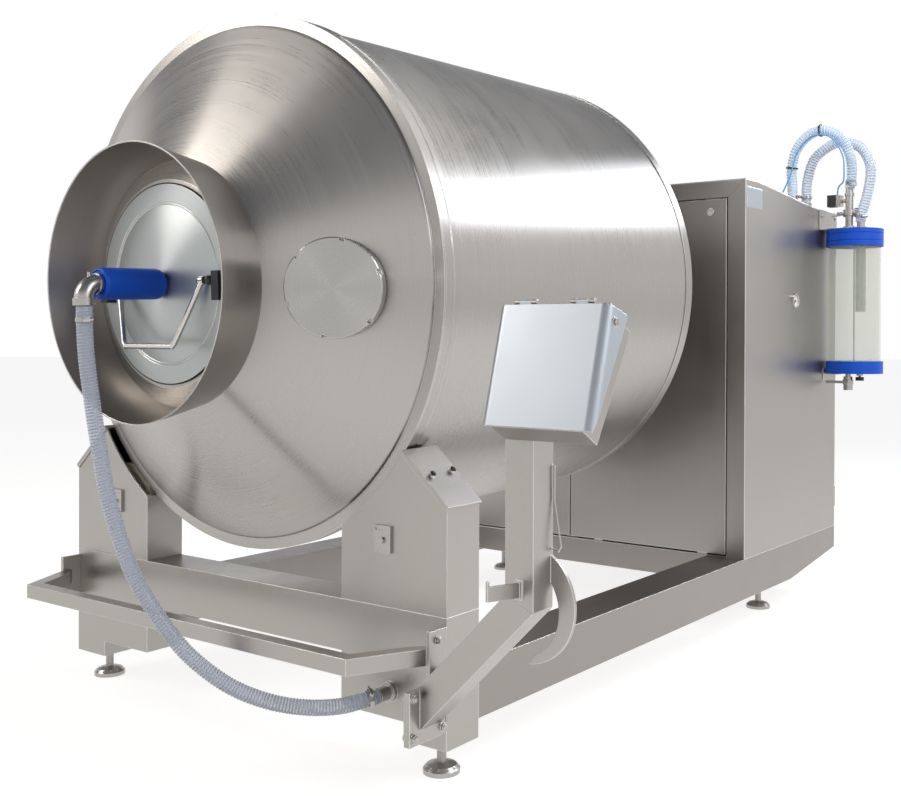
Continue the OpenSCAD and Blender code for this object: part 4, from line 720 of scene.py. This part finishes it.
# Domed heads on the bolts of the arm's flange and of the bumper's plates
DOME_RADIUS = 0.0085
BOLT_DOME = 0.005
FLANGE_BOLTS = [(0.808, y, z) for y in (-0.127, -0.014) for z in (0.158, 0.257)]
BUMPER_BOLTS = [(0.807, -0.036, z) for z in (0.304, 0.382)]
RIGHT_BOLTS = FLANGE_BOLTS + BUMPER_BOLTS
LEFT_BOLTS = [(-x, y, z) for x, y, z in BUMPER_BOLTS]
for name, places, side in (("bolt_domes_right", RIGHT_BOLTS, 1), ("bolt_domes_left", LEFT_BOLTS, -1)):
    domes = grow(name, DOMES, [here(*p) for p in places], (), Radius=DOME_RADIUS, Height=BOLT_DOME,
                 Towards=(side, 0, 0), Finish=MACHINED)
    settle(domes, "frame")

# Dark heads on the screws of the pedestal covers, square to the covers' slope
SCREW_DOME = 0.004
COVER_SCREWS = [(0.7308, 0.028, 0.7909), (0.727, 0.115, 0.7942)]
COVER_SLOPE = (0.663, 0.7485)
for side, name in ((1, "cover_screws_right"), (-1, "cover_screws_left")):
    spots = [here(side * x, y, z) for x, y, z in COVER_SCREWS]
    domes = grow(name, DOMES, spots, (), Radius=DOME_RADIUS, Height=SCREW_DOME,
                 Towards=(side * COVER_SLOPE[0], 0, COVER_SLOPE[1]), Finish=BURNISHED)
    settle(domes, "frame")

# Mitre seams of the cabinet's front frame, and the blank plate on its right side
SEAM_AT = (0.762, 1.817, 1.728)
SEAM_LENGTH, SEAM_WIDTH, SEAM_THICK = 0.102, 0.0016, 0.0003
PLATE_AT = (0.801, 1.9005, 1.6945)
PLATE_LENGTH, PLATE_HEIGHT, PLATE_THICK = 0.143, 0.077, 0.0006


def flat_plate(name, space, length, width, thick, material):
    """A thin plate that lies on a space's ground, around its middle."""
    plate = block(name, space, (-length / 2, -width / 2, 0), (length / 2, width / 2, thick), material)
    return settle(plate, "frame")


for side, name in ((1, "mitre_seam_right"), (-1, "mitre_seam_left")):
    seam_space = space_at(here(side * SEAM_AT[0], *SEAM_AT[1:]), (0, -1, 0), (side, 0, 1))
    flat_plate(name, seam_space, SEAM_LENGTH, SEAM_WIDTH, SEAM_THICK, BURNISHED)
plate_space = space_at(here(*PLATE_AT), (1, 0, 0), (0, 1, 0))
flat_plate("blank_plate", plate_space, PLATE_LENGTH, PLATE_HEIGHT, PLATE_THICK, BRUSHED_COVER)

# Black housing of the filter's actuator
ACTUATOR_LOW = (0.8105, 2.6685, 1.7325)
ACTUATOR_HIGH = (0.8500, 2.7115, 1.7845)
actuator = block("actuator_housing", Matrix.Translation(here(0, 0, 0)), ACTUATOR_LOW, ACTUATOR_HIGH,
                 BLACK_PLASTIC)
settle(actuator, "frame")

# Rubber seal between the lid and the neck
SEAL_PROFILE = band_profile(0.2765, 0.2800, -0.0002, 0.0052)
seal_space = DRUM_SPACE @ Matrix.Translation((0, MOUTH, 0)) @ QUARTER_X
settle(turned("lid_seal", SEAL_PROFILE, seal_space, BLACK_RUBBER, sides=96), "drum")

# White dial of the vacuum gauge
GAUGE_AT = (0.8041, 2.312, 1.302)
DIAL_RADIUS = 0.0283
DIAL_THICK = 0.0004
gauge_space = space_at(here(*GAUGE_AT), (1, 0, 0), (0, 0, 1))
dial_plate = turned("gauge_dial", band_profile(MIDDLE, DIAL_RADIUS, 0.0, DIAL_THICK), gauge_space, DIAL)
settle(dial_plate, "frame")
# Marks of its scale: their number, the first one's angle and the angle between two, and their corners
TICKS, FIRST_TICK, TICK_SPREAD = 11, 135, 27
TICK_LOW = (0.020, -0.0006, DIAL_THICK)
TICK_HIGH = (0.0265, 0.0006, 0.0007)
ticks = []
for k in range(TICKS):
    spoke = gauge_space @ Matrix.Rotation(math.radians(FIRST_TICK + TICK_SPREAD * k), 4, "Z")
    ticks.append(block("gauge_ticks", spoke, TICK_LOW, TICK_HIGH, BLACK_PLASTIC))
settle(joined("gauge_ticks", ticks), "frame")

# Dark screen on the control panel under the cover
BOX_LEAN = math.radians(-30.2)
BOX_AT = (1.194, -0.178, 0.943)
SCREEN_LOW = (-0.078, -0.0039, 0.122)
SCREEN_HIGH = (0.078, -0.0034, 0.238)
box_space = Matrix.Translation(here(*BOX_AT)) @ Matrix.Rotation(BOX_LEAN, 4, "X")
settle(block("control_screen", box_space, SCREEN_LOW, SCREEN_HIGH, SCREEN), "frame")

# Thread of the levelling screws
THREAD_PITCH, THREAD_RADIUS, THREAD_WIRE = 0.0035, 0.012, 0.0011
THREAD_START = 0.029
# Front and rear screws: half the distance across, place along the frame, and height where the thread ends
FOOT_SCREWS = [(0.727, 0.07, 0.071), (0.67, 2.252, 0.113)]
foot_threads = []
for x, y, top in FOOT_SCREWS:
    for side in (1, -1):
        line = [here(side * x, y, THREAD_START), here(side * x, y, top)]
        foot_threads.append(coil("foot_thread", line, THREAD_PITCH, THREAD_RADIUS, THREAD_WIRE, MACHINED))
settle(joined("foot_threads", foot_threads), "frame")

bpy.context.scene.view_settings.view_transform = "Standard"
